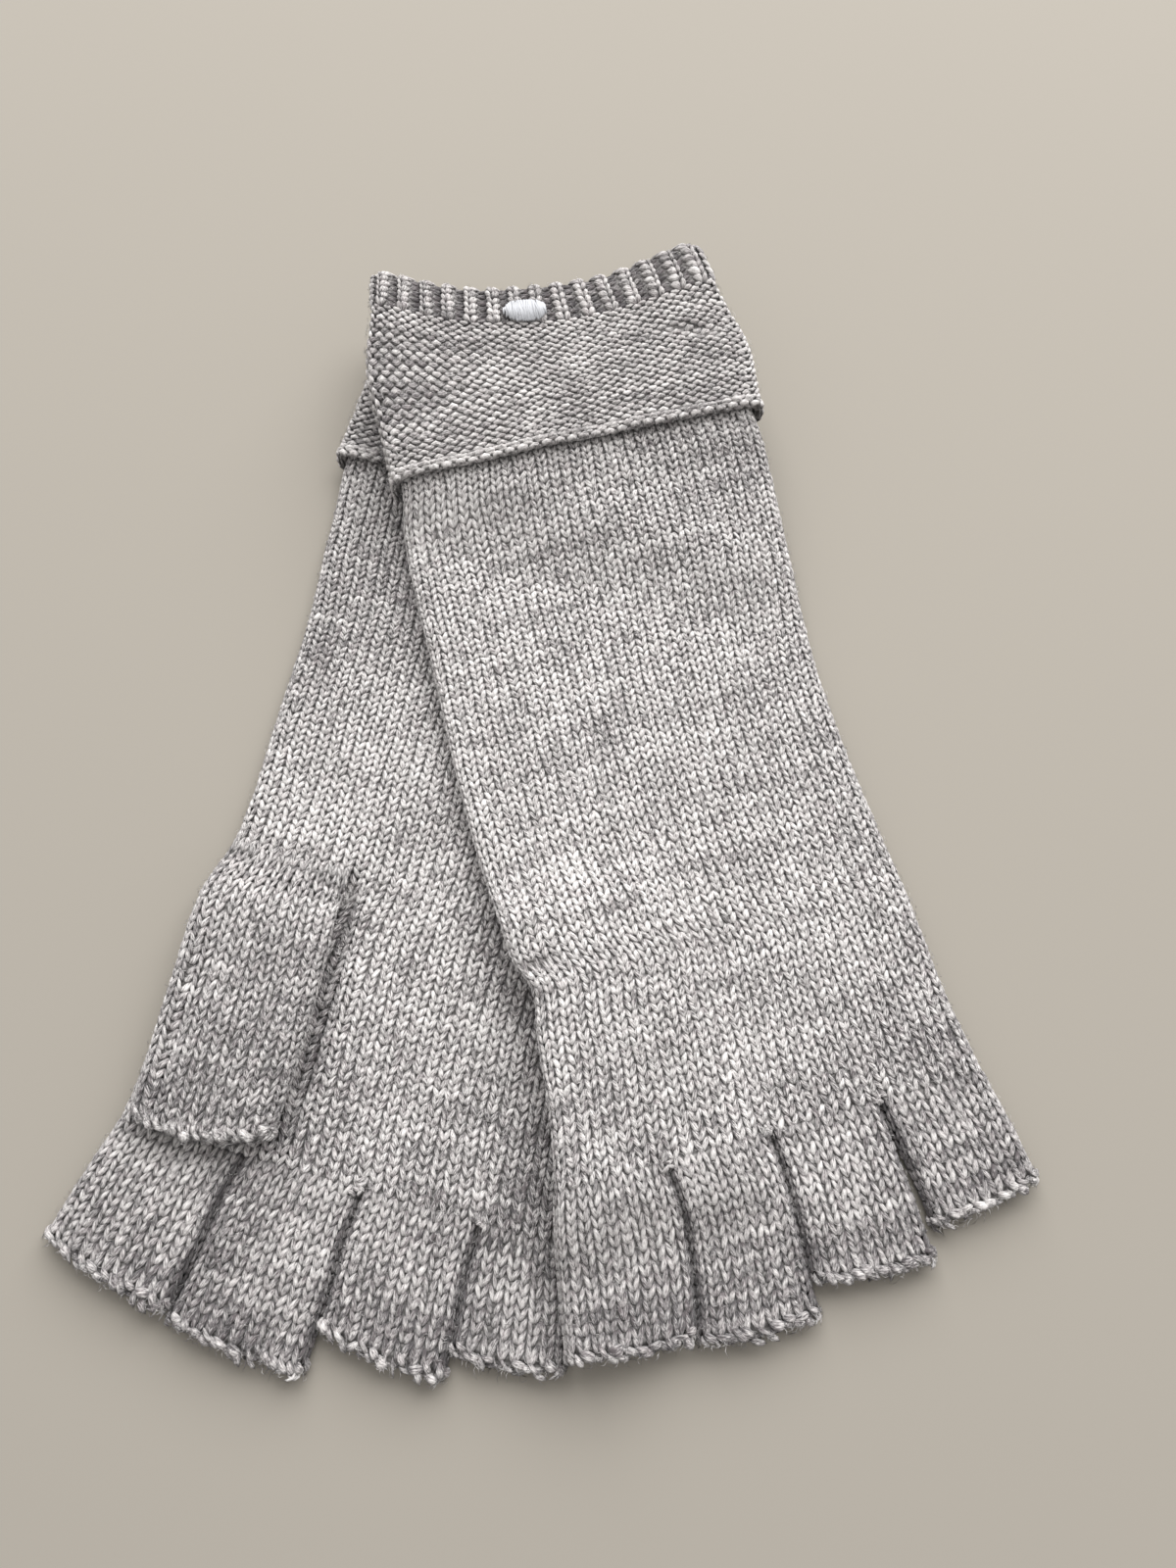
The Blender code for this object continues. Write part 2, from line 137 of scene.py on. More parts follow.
# Turned-back cuff
CUFF_TILT = {"lower": 0.0, "upper": 0.03}  # how much the upper cuff is turned on the wrist
CUFF_TOP = {  # the fold: v and u where it dips most, and how far each corner stands out beyond that
    "lower": {"v": -197.5, "u": -4.0, "left": 4.5, "right": 3.0},
    "upper": {"v": -197.6, "u": 14.0, "left": 10.5, "right": 4.0},
}
CORNER_REACH = 45.0  # from the dip to a corner of the fold
FADE_FROM = -160.0  # the fold's curve dies away between the fold and here
FADE_OVER = 28.0
RIB_LONG = 11.0  # length of the ribbed stretch below the fold
RIB_STEEP = 1.6  # a rib's cosine is made steeper by a hyperbolic tangent of so many times it
RIB_START = 2.0  # length over which the ribs rise from the band
RIB_SIDE = (-0.95, 0.5)  # they fade out below the cuff's sides: p there, and its change
RIB_END = (1.6, 1.4)  # and past this turn round the fold, over so much more of it, in radians
RIB_HIGH = 0.55  # how far a rib stands above, and a furrow lies below, the cuff's surface
CUFF_RAMP = 15.0  # the hand rises over this length to lie between the cuff's layers
CUFF_LEVEL = 2.0  # and is at its full height this far before the cuff's free edge
UNDER_CUFF = GAP + WALL

# How the upper glove lies
FALL = 27.0  # it comes down to the table over this distance beyond the lower glove
CUFF_OVER = 2 * UNDER_CUFF + RIB_HIGH  # it lies this much higher on the lower cuff
CUFF_FALL = 22.0
FALL_INSIDE = 1.5  # these falls begin this far inside an edge and before the cuff
CUFF_FALL_INSIDE = 1.0
THUMB_FALL = 16.0  # the palm comes down beside and past the thumb over this distance
THUMB_CLEAR = 3.0  # and starts to come down this far from it
THUMB_EASE = 0.15
CURLS = (  # the upper cuff's corners turn up: side, height, u where that starts and its length, and so for v
    (-1.0, 3.0, -10.0, 30.0, -172.0, 36.0),
    (1.0, 4.5, 16.0, 28.0, -176.0, 22.0),
)

# ---------------------------------------------------------------- where the knitting departs from the solids

EDGE_ROUND = 2.2  # how far in from its side edges a flat tube is rounded
FINGER_ROUND = 1.7
STEPS_ROUND = 801  # samples from one edge of a flat tube to the other, and along the glove
RISE_FROM = -0.2  # p, which goes from -1 below to 1 above, where the relief of the upper face begins
SLIT_HALF = 0.3  # half the width of a slit at its crotch, and past the finger ends
SLIT_HALF_END = {"lower": (0.6, 0.5, 0.4), "upper": (0.35, 0.45, 1.5)}
SKIRT = 0.8  # the fingers' undersides spread out this much more, so that the slits close below
SLIT_PRESS = 0.25  # and their sides this much, because the yarn of two fingers touches
SLIT_LEAST = 0.05
SKIRT_FADE = (0.3, 1.5)  # the skirt's share is an even S of the first less the second times p
THUMB_THIN = 0.2  # thickness of the thumb at its foot
BELLY = 2.1  # how far the upper cuff's right side stands out, in its middle
BELLY_V = -170.0
BELLY_LONG = 11.0
RIM_IN = 2.8  # a line runs this far inside the cuff's sides
RIM_WIDE = 0.9
RIM_LEFT = 0.35  # how strong it is on the left, against the right
EDGE_FURROW = 1.0  # and how deep it is

# Soft troughs (below 0) and ridges in the upper face: middle u and v, half length, half width, turn, height
CREASES = {
    "lower": (
        (-38.0, -66.0, 9.0, 2.6, 60.0, -0.35),
        (-30.0, -108.0, 22.0, 5.0, 80.0, 0.45),
        (-12.0, -84.0, 17.0, 3.6, 74.0, -0.4),
        (-36.0, -136.0, 15.0, 4.0, 66.0, -0.45),
    ),
    "upper": (
        (-37.0, -43.0, 4.5, 1.1, 4.0, -1.7),
        (-36.5, -38.5, 6.0, 2.6, 8.0, 0.7),
        (-14.0, -47.0, 15.0, 3.4, 68.0, -0.4),
        (10.0, -20.0, 18.0, 4.0, 35.0, -0.35),
        (31.0, -62.0, 24.0, 4.4, 84.0, -0.5),
        (22.0, -108.0, 19.0, 4.0, 78.0, 0.4),
        (-20.0, -118.0, 21.0, 4.6, 98.0, -0.4),
        (-8.0, -146.0, 22.0, 3.4, 12.0, -0.4),
        (35.0, -175.4, 5.5, 1.6, -13.0, -0.85),
        (34.6, -178.9, 6.0, 2.0, -12.0, 0.5),
        (-22.0, -178.0, 11.0, 2.6, 50.0, -0.35),
    ),
}
# Slow waves in the upper face: their turn in radians for each millimetre of u and of v, phase and height
SWELL_WAVES = ((0.071, 0.113, 0.0, 0.22), (-0.13, 0.083, 1.3, 0.16), (0.19, 0.047, 4.1, 0.1))
# The palm rises and dips along the thumb's right edge: height, distance from that edge, half width
THUMB_GROOVE = ((1.0, 4.0, 1.9), (-1.9, 0.9, 1.5))
GROOVE_END = -3.0  # v where the groove ends
GROOVE_FADE = (6.0, 5.0)  # length over which it begins and over which it ends
GROOVE_EARLY = 2.0  # it begins this far before the thumb's foot, and the wall's this far
WALL_EARLY = 4.0
WALL_GROOVE = (1.3, 0.5, 2.8)  # how much further the wall dips there, at what distance, and half width
# A soft valley just inside the thumb's left edge: depth, half width, distance from the edge at VALLEY_V
THUMB_VALLEY = (1.3, 0.9, 5.2)
VALLEY_V = -30.0
VALLEY_SLANT = 0.05
VALLEY_FOOT = (-46.0, 14.0)  # v where it starts, and the length over which it deepens

MARK_CENTRE = (-2.0, -190.9)
MARK_HALF = (5.0, 2.9)
MARK_REACH = 6  # the mark's own grid reaches this many millimetres to each side of its middle
THREAD_PITCH = 0.21  # from one satin thread to the next
THREAD_FIRST = 0.15  # and from the mark's end to the first
THREAD_TOP = 3  # each third thread has another one on it
THREAD_TOP_LONG = 0.85  # which is this share as long,
THREAD_STRAY = 0.08  # and this uneven in its turn, in radians

# ---------------------------------------------------------------- gauge of the knitting

HAND_WALES = 66  # round the hand and the cuff, an even number for the rib
THUMB_WALES = 26
FINGER_WALE = 2.6  # width of a finger's stitch
FINGER_EASE = 2.0  # half round a finger is this much more than its width
# v, and the height of a course there
COURSE_HEIGHTS = ((-210.0, 1.58), (-105.0, 1.58), (-68.0, 1.74), (-30.0, 1.80), (0.0, 1.92))
STATIONS_FROM = -200.0  # v, from which the courses are counted to the crotches
CUFF_COURSE = 1.72
THUMB_COURSE = 1.9
FINGER_COURSE = 1.97
HAND_FIRST = -159.0  # the hand's stitches start just inside the cuff
HAND_INSIDE = -191.5  # and its plain wall runs on inside the cuff, nearly to the fold
HAND_INSIDE_ROWS = 9
RIB_INSIDE = 3.0  # the rib reaches this far down inside the fold
BEFORE_FOLD = 4  # its first courses lie flat, and the next ones turn over the fold
THUMB_BARE = 4  # the lower thumb's first courses have no wall, because the palm is there
LAST_ROW = 1.45  # a finger's last row is pushed back this many courses from the end, under the cast-off
BASE_DEPTH = 0.95  # the cloth wall under the yarn lies this far in from the outer surface
THUMB_DEPTH = 1.9  # and the inner side of the thumb's wall this far
WALL_LEAST = 0.1  # no part of the wall is nearer to the table than this
YARN_DEPTH = 0.52  # the middle of the yarn lies this far in from the outer surface
HIDDEN_MARGIN = 5.0  # stitches this far inside the other glove's outline are left out
THUMB_HIDES = {"lower": 1.2, "upper": 4.0}  # and so are the palm's this far inside the thumb's outline,
THUMB_HIDES_FROM = 6.0  # on the lower palm from this far past the thumb's foot
COVERED_TO = 20.0  # v, beyond which a glove's fingers hide nothing
FUZZ = 1.4  # loose fibres to a stitch on the hands, fingers and thumbs
CUFF_FUZZ = 1.6

# How the grid of stitches strays: size in wales or courses, phase, turns round the tube, radians to a course
STRAY_ACROSS = ((0.07, 0.0, 5.0, 0.23), (0.04, 2.0, -9.0, 0.51))
STRAY_ALONG = ((0.06, 1.0, 7.0, -0.31), (0.03, 0.0, 13.0, 0.17))

# ---------------------------------------------------------------- lightness of the yarn

MARL_MIDDLE = 0.555
MARL_WAVES = ((2.4, 0.05), (11.0, 0.085))  # stitches between turns of each wave, and its spread of lightness
MARL_EACH = 0.035
SHADE_ALONG_V = ((-80.0, 0.0), (-35.0, -0.03), (0.0, -0.09), (15.0, -0.15), (34.0, -0.30))  # v, and painted shade added: darker towards the finger ends, away from the light
# Broad painted light and shade on the cloth, with some of the yarn's own uneven tone: middle u and v, half
# width, half length, lightness added
LIGHT_AND_SHADE_ZONES = {
    "lower": (
        (-38.0, -122.0, 13.0, 24.0, -0.22),
        (-20.0, -27.0, 14.0, 12.0, -0.10),
        (-6.0, -8.0, 22.0, 9.0, -0.08),
        (34.0, -6.0, 5.0, 16.0, -0.24),
        (-16.0, 6.0, 12.0, 10.0, -0.07),
        (8.0, -46.0, 10.0, 10.0, 0.06),
        (14.0, -150.0, 12.0, 16.0, -0.08),
    ),
    "upper": (
        (-34.0, -182.0, 16.0, 14.0, -0.17),
        (-28.0, -149.5, 16.0, 5.0, 0.13),
        (26.0, -151.0, 20.0, 4.0, -0.10),
        (26.0, -138.0, 18.0, 5.5, -0.24),
        (-36.0, 24.0, 14.0, 9.0, -0.10),
        (44.0, -70.0, 7.0, 50.0, -0.10),
        (34.0, -8.0, 18.0, 12.0, -0.12),
        (-25.0, -44.0, 14.0, 9.0, 0.08),
        (8.0, -38.0, 12.0, 8.0, 0.07),
        (-20.0, 9.0, 9.0, 7.0, 0.08),
    ),
}
THUMB_TONE = -0.09  # lightness added to all of the thumb's yarn, and the cuff's
BAND_TONE = -0.05
RIB_TONE = -0.12
ROLLED_TONE = 0.1  # the cuff's rolled sides are lighter
ROLLED_WIDE = 1.6
RIM_SHADE = 0.2  # and the line inside them is darker, painted shade in its furrow
EDGE_SHADE = 0.16  # painted shadow: how much darker the lower glove's yarn is right beside the upper glove
EDGE_SHADE_WIDE = 4.5
GROOVE_SHADE = 0.30  # and the palm's right beside the thumb, painted shade in the groove
GROOVE_SHADE_AT = (0.6, 1.8)  # distance from the thumb's edge, and half width
ROOT_SHADE = 0.34  # painted shade: how much darker a strand is where it comes up out of the cloth, over a share of its length
ROOT_SHARE = 0.36
TIP_SHADE = 0.22  # and where it goes down again
TIP_SHARE = 0.2
END_SHADE = 0.05  # painted shade on a finger's yarn in the row before its cast-off, which is END_COURSES from the end
END_COURSES = 2.2
SLIT_SHADE = {"lower": 0.42, "upper": 0.28}  # painted shade on a finger's yarn on the side that faces another finger
SLIT_SHADE_WIDE = 0.9  # in wales

# ---------------------------------------------------------------- paths of the strands

KNIT_UNEVEN = 0.85  # how irregular the knit stitches are
TWIST_THICK = 1.5  # by how many times its twist a stitch's one leg is thicker, and the other thinner
HAND_TWIST = {"lower": 0.0, "upper": -0.04}  # radians
FINGER_TWIST = -0.05
FINGER_YARN = 0.95  # thickness of the yarn in the fingers and thumbs
THUMB_EDGE = 3.0  # wales with stitches beside each edge of a thumb's hidden face
# A cast-off edge's two rows of links: wale, course, height, size and lightness added
CAST_OFF_ROWS = ((0.2, -0.22, 0.26, 1.18, 0.03), (0.7, 0.16, 0.07, 1.14, 0.05))
CAST_OFF_LEAN = (0.16, 0.26)  # radians, and their spread
CAST_OFF_STRAY = 0.13
CAST_OFF_FUZZ = 12  # loose fibres to a wale
CAST_OFF_FUZZ_AT = (0.2, 0.3)  # their course past the end, and its spread
RIM_COURSE = 0.1  # the plain row lies this far before the end
LOOSE_ENDS = 4  # strands of the loose end
LOOSE_WALE = 0.8  # they start this far before the right corner and past the end
LOOSE_COURSE = 0.3
LOOSE_STRAY = 0.3
LOOSE_LEAN = (0.5, 0.5)
HAIR_TONE = (0.05, 0.25)  # lightness added to a loose fibre, and its spread
HAIR_LONG = (0.4, 1.3)  # least and greatest length
KNOT_LOOPS = 8
KNOT_STRAY = (0.24, 0.34)  # spread of a knot's loops, in wales and in courses
PURL_COURSE = 0.3  # a purl head lies this far into its course, and its foot further
BAND_FOOT_COURSE = 0.98
RIB_FOOT_COURSE = 0.9
BAND_RIM = ((0.5, -0.15), (0.0, 0.6))  # wale and course of the two thicker rows on the band's free edge
BAND_RIM_COURSE = -0.35
RIB_FUZZ_COURSES = 6

# A strand's path. share is how far along it a ring lies; across is in wales, along in courses;
# height is out of the cloth and thick is the half width of the yarn, both in millimetres.
# Columns: share, across, along, height, thick
KNIT_LEG = (
    (0.00, 0.07, -0.24, -0.55, 0.00),
    (0.12, 0.11, -0.07, -0.16, 0.45),
    (0.40, 0.225, 0.38, 0.00, 0.60),
    (0.68, 0.355, 0.83, 0.00, 0.60),
    (0.88, 0.43, 1.13, -0.16, 0.46),
    (1.00, 0.46, 1.28, -0.55, 0.00),
)
FINGER_LEG = (
    (0.00, 0.07, -0.24, -0.55, 0.00),
    (0.12, 0.11, -0.06, -0.16, 0.47),
    (0.40, 0.225, 0.38, 0.00, 0.62),
    (0.68, 0.35, 0.82, 0.00, 0.62),
    (0.88, 0.425, 1.12, -0.16, 0.47),
    (1.00, 0.455, 1.26, -0.55, 0.00),
)
RIB_LEG = (
    (0.00, 0.08, -0.24, -0.50, 0.00),
    (0.14, 0.12, -0.05, -0.15, 0.50),
    (0.41, 0.24, 0.36, 0.10, 0.74),
    (0.69, 0.40, 0.81, 0.10, 0.76),
    (0.90, 0.52, 1.15, -0.05, 0.56),
    (1.00, 0.56, 1.32, -0.50, 0.00),
)
PLAIN_LEG = (
    (0.00, 0.07, -0.20, -0.50, 0.00),
    (0.30, 0.15, 0.26, -0.06, 0.62),
    (0.74, 0.33, 0.94, 0.00, 0.64),
    (1.00, 0.40, 1.34, -0.54, 0.00),
)
PURL_HEAD = (
    (0.00, -0.36, -0.36, -0.60, 0.00),
    (0.24, -0.28, 0.00, -0.14, 0.56),
    (0.50, 0.00, 0.17, -0.02, 0.66),
    (0.76, 0.28, 0.00, -0.14, 0.56),
    (1.00, 0.36, -0.36, -0.60, 0.00),
)
PURL_FOOT = (
    (0.00, -0.42, 0.24, -0.62, 0.00),
    (0.25, -0.28, 0.00, -0.22, 0.54),
    (0.50, 0.00, -0.14, -0.10, 0.62),
    (0.75, 0.28, 0.00, -0.22, 0.54),
    (1.00, 0.42, 0.24, -0.62, 0.00),
)
CHAIN_LINK = (
    (0.00, -0.60, -0.42, -0.70, 0.00),
    (0.18, -0.38, -0.24, -0.10, 0.44),
    (0.44, -0.06, 0.00, 0.26, 0.60),
    (0.74, 0.30, 0.20, 0.18, 0.54),
    (1.00, 0.62, 0.40, -0.60, 0.00),
)
RIM_LINK = (
    (0.00, -0.70, 0.10, -0.80, 0.00),
    (0.30, -0.26, 0.22, -0.66, 0.52),
    (0.70, 0.26, 0.22, -0.66, 0.52),
    (1.00, 0.70, 0.10, -0.80, 0.00),
)
KNOT = (
    (0.00, -0.42, 0.00, -0.60, 0.00),
    (0.25, -0.26, 0.10, 0.10, 0.40),
    (0.55, 0.02, 0.06, 0.40, 0.48),
    (0.80, 0.24, -0.08, 0.05, 0.38),
    (1.00, 0.42, -0.10, -0.60, 0.00),
)
THREAD = (
    (0.00, -0.50, 0.00, -0.55, 0.00),
    (0.12, -0.46, 0.00, -0.05, 0.22),
    (0.50, 0.00, 0.00, 0.20, 0.25),
    (0.88, 0.46, 0.00, -0.05, 0.22),
    (1.00, 0.50, 0.00, -0.55, 0.00),
)
HAIR = (
    (0.00, 0.00, -0.62, 0.00, 0.000),
    (0.50, 0.14, 0.05, 0.42, 0.055),
    (1.00, -0.06, 0.62, 0.20, 0.000),
)
YARN_END = (
    (0.00, 0.00, -1.10, -0.60, 0.00),
    (0.22, 0.05, -0.40, 0.05, 0.42),
    (0.50, 0.30, 0.30, 0.30, 0.40),
    (0.78, 0.22, 1.10, 0.10, 0.30),
    (1.00, -0.10, 1.80, -0.10, 0.00),
)


# ---------------------------------------------------------------- shape of the cloth


def smooth(t):
    """0 below 0, 1 above 1, and an even S between."""
    t = np.clip(t, 0.0, 1.0)
    return t * t * (3.0 - 2.0 * t)


def through(x, places, values):
    """A smooth curve through points: on each stretch a cubic that meets both ends and their slopes,
    where a point's slope is that of its neighbours' chord."""
    places = np.asarray(places, float)
    values = np.asarray(values, float)
    slopes = np.gradient(values, places)
    x = np.clip(x, places[0], places[-1])
    k = np.clip(np.searchsorted(places, x, side="right") - 1, 0, len(places) - 2)
    width = places[k + 1] - places[k]
    t = (x - places[k]) / width
    start = values[k] + (values[k + 1] - values[k]) * t * t * (3.0 - 2.0 * t)
    return start + width * t * (1.0 - t) * (slopes[k] * (1.0 - t) - slopes[k + 1] * t)


def edge(glove, side, v):
    """u of a glove's left or right edge at v."""
    column = EDGE_COLUMNS.index(f"{glove}_{side}")
    rows = np.array(EDGE_ROWS)
    return through(v, rows[:, 0], rows[:, column])


def thumb(column, v):
    """The thumb's inset from the hand's left edge at v, or u of its own right edge."""
    rows = np.array(THUMB_ROWS)
    return through(v, rows[:, 0], rows[:, THUMB_COLUMNS.index(column)])


def to_table(glove, u, v):
    """Millimetres on the table for a place on a glove."""
    place = PLACES[glove]
    turn = math.radians(place["turn"])
    x = place["x"] + u * math.cos(turn) + v * math.sin(turn)
    y = place["y"] + u * math.sin(turn) - v * math.cos(turn)
    return x, y


def from_table(glove, x, y):
    """The place on a glove, extended, above a point of the table."""
    place = PLACES[glove]
    turn = math.radians(place["turn"])
    x = x - place["x"]
    y = y - place["y"]
    return x * math.cos(turn) + y * math.sin(turn), x * math.sin(turn) - y * math.cos(turn)


def in_scene(glove, points):
    """Metres in the scene for millimetres (u, -v, z) in a glove's frame."""
    x, y = to_table(glove, points[..., 0], -points[..., 1])
    return np.stack((x - PAIR_CENTRE[0], y - PAIR_CENTRE[1], points[..., 2]), axis=-1) * MM


def course(glove, station):
    """The line of v against u that a row of stitches follows: straight on the hand, curved at the fold."""
    top = CUFF_TOP[glove]
    fade = smooth((FADE_FROM - station) / FADE_OVER)
    tilt = CUFF_TILT[glove] * smooth((CUFF_LOW + CUFF_RAMP - station) / CUFF_RAMP)

    def line(u):
        away = (u - top["u"]) / CORNER_REACH
        reach = np.where(away < 0.0, top["left"], top["right"])
        return station - fade * reach * away**2 + tilt * u

    return line


def in_cuff(v):
    """1 inside the turned-back cuff and 0 well outside it."""
    return smooth((CUFF_LOW + CUFF_RAMP - v) / (CUFF_RAMP - CUFF_LEVEL))


def finger_thick(v):
    """Thickness of a glove on its fingers, which swell a little towards their ends."""
    return TUBE + (FINGER - TUBE) * smooth(v / FINGER_SWELL)


def over_lower(u, v):
    """Height of the table and the lower glove under a place on the upper glove."""
    x, y = to_table("upper", u, v)
    low_u, low_v = from_table("lower", x, y)
    cuff = smooth((CUFF_LOW + CUFF_FALL - low_v) / (CUFF_FALL - CUFF_FALL_INSIDE))
    inside = edge("lower", "right", low_v) + UNDER_CUFF * cuff - low_u
    height = finger_thick(low_v) + GAP + CUFF_OVER * cuff
    return height * smooth((inside + FALL) / (FALL + FALL_INSIDE))


def over_thumb(u, v):
    """1 where the upper glove's palm lies on its own thumb, falling to 0 round it."""
    foot = smooth((v - THUMB_FOOT + 2.0 * THUMB_CLEAR) / THUMB_FALL)
    end = smooth((THUMB_FALL + THUMB_CLEAR - v) / THUMB_FALL)
    beside = smooth((thumb("right", v) + THUMB_CLEAR + THUMB_FALL - u) / THUMB_FALL)
    return foot * end * beside


def curl(u, v):
    """How far the upper cuff's two corners turn up: an even S across times one along."""
    height = 0.0
    for side, high, from_u, over_u, from_v, over_v in CURLS:
        height = height + high * smooth(side * (u - from_u) / over_u) * smooth((from_v - v) / over_v)
    return height


def underside(glove, u, v):
    """Height of the hand tube's lower face."""
    height = UNDER_CUFF * in_cuff(v)
    if glove == "upper":
        height = height + over_lower(u, v) + (THUMB + GAP) * over_thumb(u, v) + curl(u, v)
    return height


# ---------------------------------------------------------------- creases and soft unevenness


def bell(away, wide):
    """1 in the middle of a line, falling to 0 on both its sides: e to the power of minus the square."""
    return np.exp(-((away / wide) ** 2))


def cuff_sides(glove):
    """The edges inside the cuff's wall. The upper cuff bellies out a little on its right."""

    def sides(v):
        belly = BELLY * bell(v - BELLY_V, BELLY_LONG) if glove == "upper" else 0.0
        return edge(glove, "left", v), edge(glove, "right", v) + belly

    return sides


def rim_line(glove, u, v):
    """The line just inside the cuff's two sides, 1 in its middle on the right and fainter on the left."""
    left, right = cuff_sides(glove)(v)
    line = bell(right - u + UNDER_CUFF - RIM_IN, RIM_WIDE)
    return line + RIM_LEFT * bell(u - left + UNDER_CUFF - RIM_IN, RIM_WIDE)


def along_thumb(v, early=0.0):
    """1 beside the thumb, falling to 0 at its foot and near its end. early makes it start so much sooner."""
    return smooth((v - THUMB_FOOT + early) / GROOVE_FADE[0]) * smooth((GROOVE_END - v) / GROOVE_FADE[1])


def relief(glove, u, v):
    """How far the upper face stands above its plain form: creases, each a bell across and a longer bell
    along its line, three slow waves, the line inside the cuff's sides and the groove beside the thumb."""
    height = 0.0
    for at_u, at_v, long, wide, turn, high in CREASES[glove]:
        cosine, sine = math.cos(math.radians(turn)), math.sin(math.radians(turn))
        along = (u - at_u) * cosine - (v - at_v) * sine
        beside = (u - at_u) * sine + (v - at_v) * cosine
        height = height + high * np.exp(-((along / long) ** 2) - (beside / wide) ** 2)
    for by_u, by_v, phase, high in SWELL_WAVES:
        height = height + high * np.sin(by_u * u + by_v * v + phase)
    height = height - EDGE_FURROW * rim_line(glove, u, v) * in_cuff(v)
    if glove == "lower":
        away = u - thumb("right", v)
        groove = sum(high * bell(away - at, wide) for high, at, wide in THUMB_GROOVE)
        height = height + groove * along_thumb(v, GROOVE_EARLY)
    return height


def outline(share, width, thick, edge_round):
    """(a, p) at a share of the way round a flat tube, from the middle of its left edge over the upper face:
    a goes from -1 to 1 across and p through it. Each edge is a quarter ellipse above and below."""
    a = np.sin(np.linspace(-0.5, 0.5, STEPS_ROUND) * math.pi)
    inward = np.clip((1.0 - np.abs(a)) * width / (2.0 * edge_round), 0.0, 1.0)
    p = np.sqrt(1.0 - (1.0 - inward) ** 2)
    steps = np.hypot(np.diff(a) * width / 2.0, np.diff(p) * thick / 2.0)
    run = np.concatenate(([0.0], np.cumsum(steps))) / (2.0 * np.sum(steps))
    share = share % 1.0
    half = np.where(share > 0.5, 1.0 - share, share)
    return np.interp(half, run, a), np.interp(half, run, p) * np.where(share > 0.5, -1.0, 1.0)


def flat_tube(section, line, sides, faces, grow=0.0, rise=None, skirt=0.0):
    """Millimetres (u, -v, z) on a tube's surface, moved out by grow: line gives v from u, sides the two edges
    at v, and faces the two heights at (u, v). rise lifts the upper face and fades out just below the edges,
    and skirt widens the lower one. u and v depend on each other, so they are found in a few rounds."""
    a, p = section
    spread = grow + skirt * smooth(SKIRT_FADE[0] - SKIRT_FADE[1] * p)
    v = line(0.0 * a)
    for _ in range(ROUNDS):
        left, right = sides(v)
        u = (left + right) / 2.0 + a * ((right - left) / 2.0 + spread)
        v = line(u)
    bottom, top = faces(u, v)
    z = (bottom + top) / 2.0 + p * ((top - bottom) / 2.0 + grow)
    if rise is not None:
        z = z + rise(u, v) * smooth((p - RISE_FROM) / (1.0 - RISE_FROM))
    return np.stack(np.broadcast_arrays(u, -v, z), axis=-1)


class Fabric:
    """The outer surface of a knitted tube on a grid of wales and courses.

    skin(i, j, grow) gives the place of wale i and course j. Between grid points a place is the mean of the
    four round it, weighted by nearness, and so is the outward direction, the cross product of the grid's
    two directions."""

    FINE = 3
    MARGIN = 2.0  # courses of grid before the first and after the last
    LAST = 1.001  # rows from the grid's end that a place is kept away

    def __init__(self, glove, skin, wales, courses):
        self.glove = glove
        self.skin = skin
        self.wales = wales
        self.courses = courses
        self.first = -self.MARGIN
        i = np.arange(wales * self.FINE) / self.FINE
        j = np.arange((courses + 2.0 * self.MARGIN) * self.FINE + 1) / self.FINE + self.first
        self.grid = skin(i[None, :], j[:, None], 0.0)
        across = np.roll(self.grid, -1, axis=1) - np.roll(self.grid, 1, axis=1)
        along = np.gradient(self.grid, axis=0)
        out = np.cross(along, across)
        self.outward = out / np.maximum(np.linalg.norm(out, axis=-1, keepdims=True), TINY)
        face = self.grid[len(j) // 2, : len(i) // 2 : self.FINE]
        self.wale = float(np.mean(np.linalg.norm(np.diff(face, axis=0), axis=1)))
        self.course = float(np.mean(np.linalg.norm(np.diff(self.grid[:, 0], axis=0), axis=1))) * self.FINE

    def find(self, u, v):
        """The wale and course nearest a place of the upper face."""
        face = self.grid[:, : self.wales * self.FINE // 2]
        away = np.hypot(face[..., 0] - u, face[..., 1] + v)
        row, column = np.unravel_index(np.argmin(away), away.shape)
        return column / self.FINE, row / self.FINE + self.first

    def at(self, i, j, out):
        """The place out millimetres above wale i and course j."""
        x = (i % self.wales) * self.FINE
        y = np.clip((j - self.first) * self.FINE, 0.0, len(self.grid) - self.LAST)
        left, low = np.floor(x).astype(int), np.floor(y).astype(int)
        columns = self.grid.shape[1]
        place, outward = 0.0, 0.0
        for row, by_row in ((low, 1.0 - (y - low)), (low + 1, y - low)):
            for column, by_column in ((left, 1.0 - (x - left)), (left + 1, x - left)):
                weight = (by_row * by_column)[..., None]
                place = place + weight * self.grid[row, column % columns]
                outward = outward + weight * self.outward[row, column % columns]
        return place + outward * out[..., None]


def relief_of(glove):
    """The relief as a function of u and v alone."""
    return lambda u, v: relief(glove, u, v)


def hand_sides(glove):
    """A function of v that gives u of the glove's two side edges."""
    return lambda v: (edge(glove, "left", v), edge(glove, "right", v))


def hand_faces(glove):
    """A function of u and v that gives the heights of the hand tube's two faces."""

    def faces(u, v):
        bottom = underside(glove, u, v)
        return bottom, bottom + TUBE

    return faces


def hand_width(glove):
    """Width of the wrist, which the outlines of the hand and the cuff are worked out for."""
    return edge(glove, "right", WRIST_V) - edge(glove, "left", WRIST_V)


def stations():
    """v against the number of courses below the crotches, where the courses' heights vary along the hand."""
    v = np.linspace(STATIONS_FROM, 0.0, STEPS_ROUND)
    heights = np.array(COURSE_HEIGHTS)
    count = np.cumsum((v[1] - v[0]) / np.interp(v, heights[:, 0], heights[:, 1]))
    return v, count - count[-1]


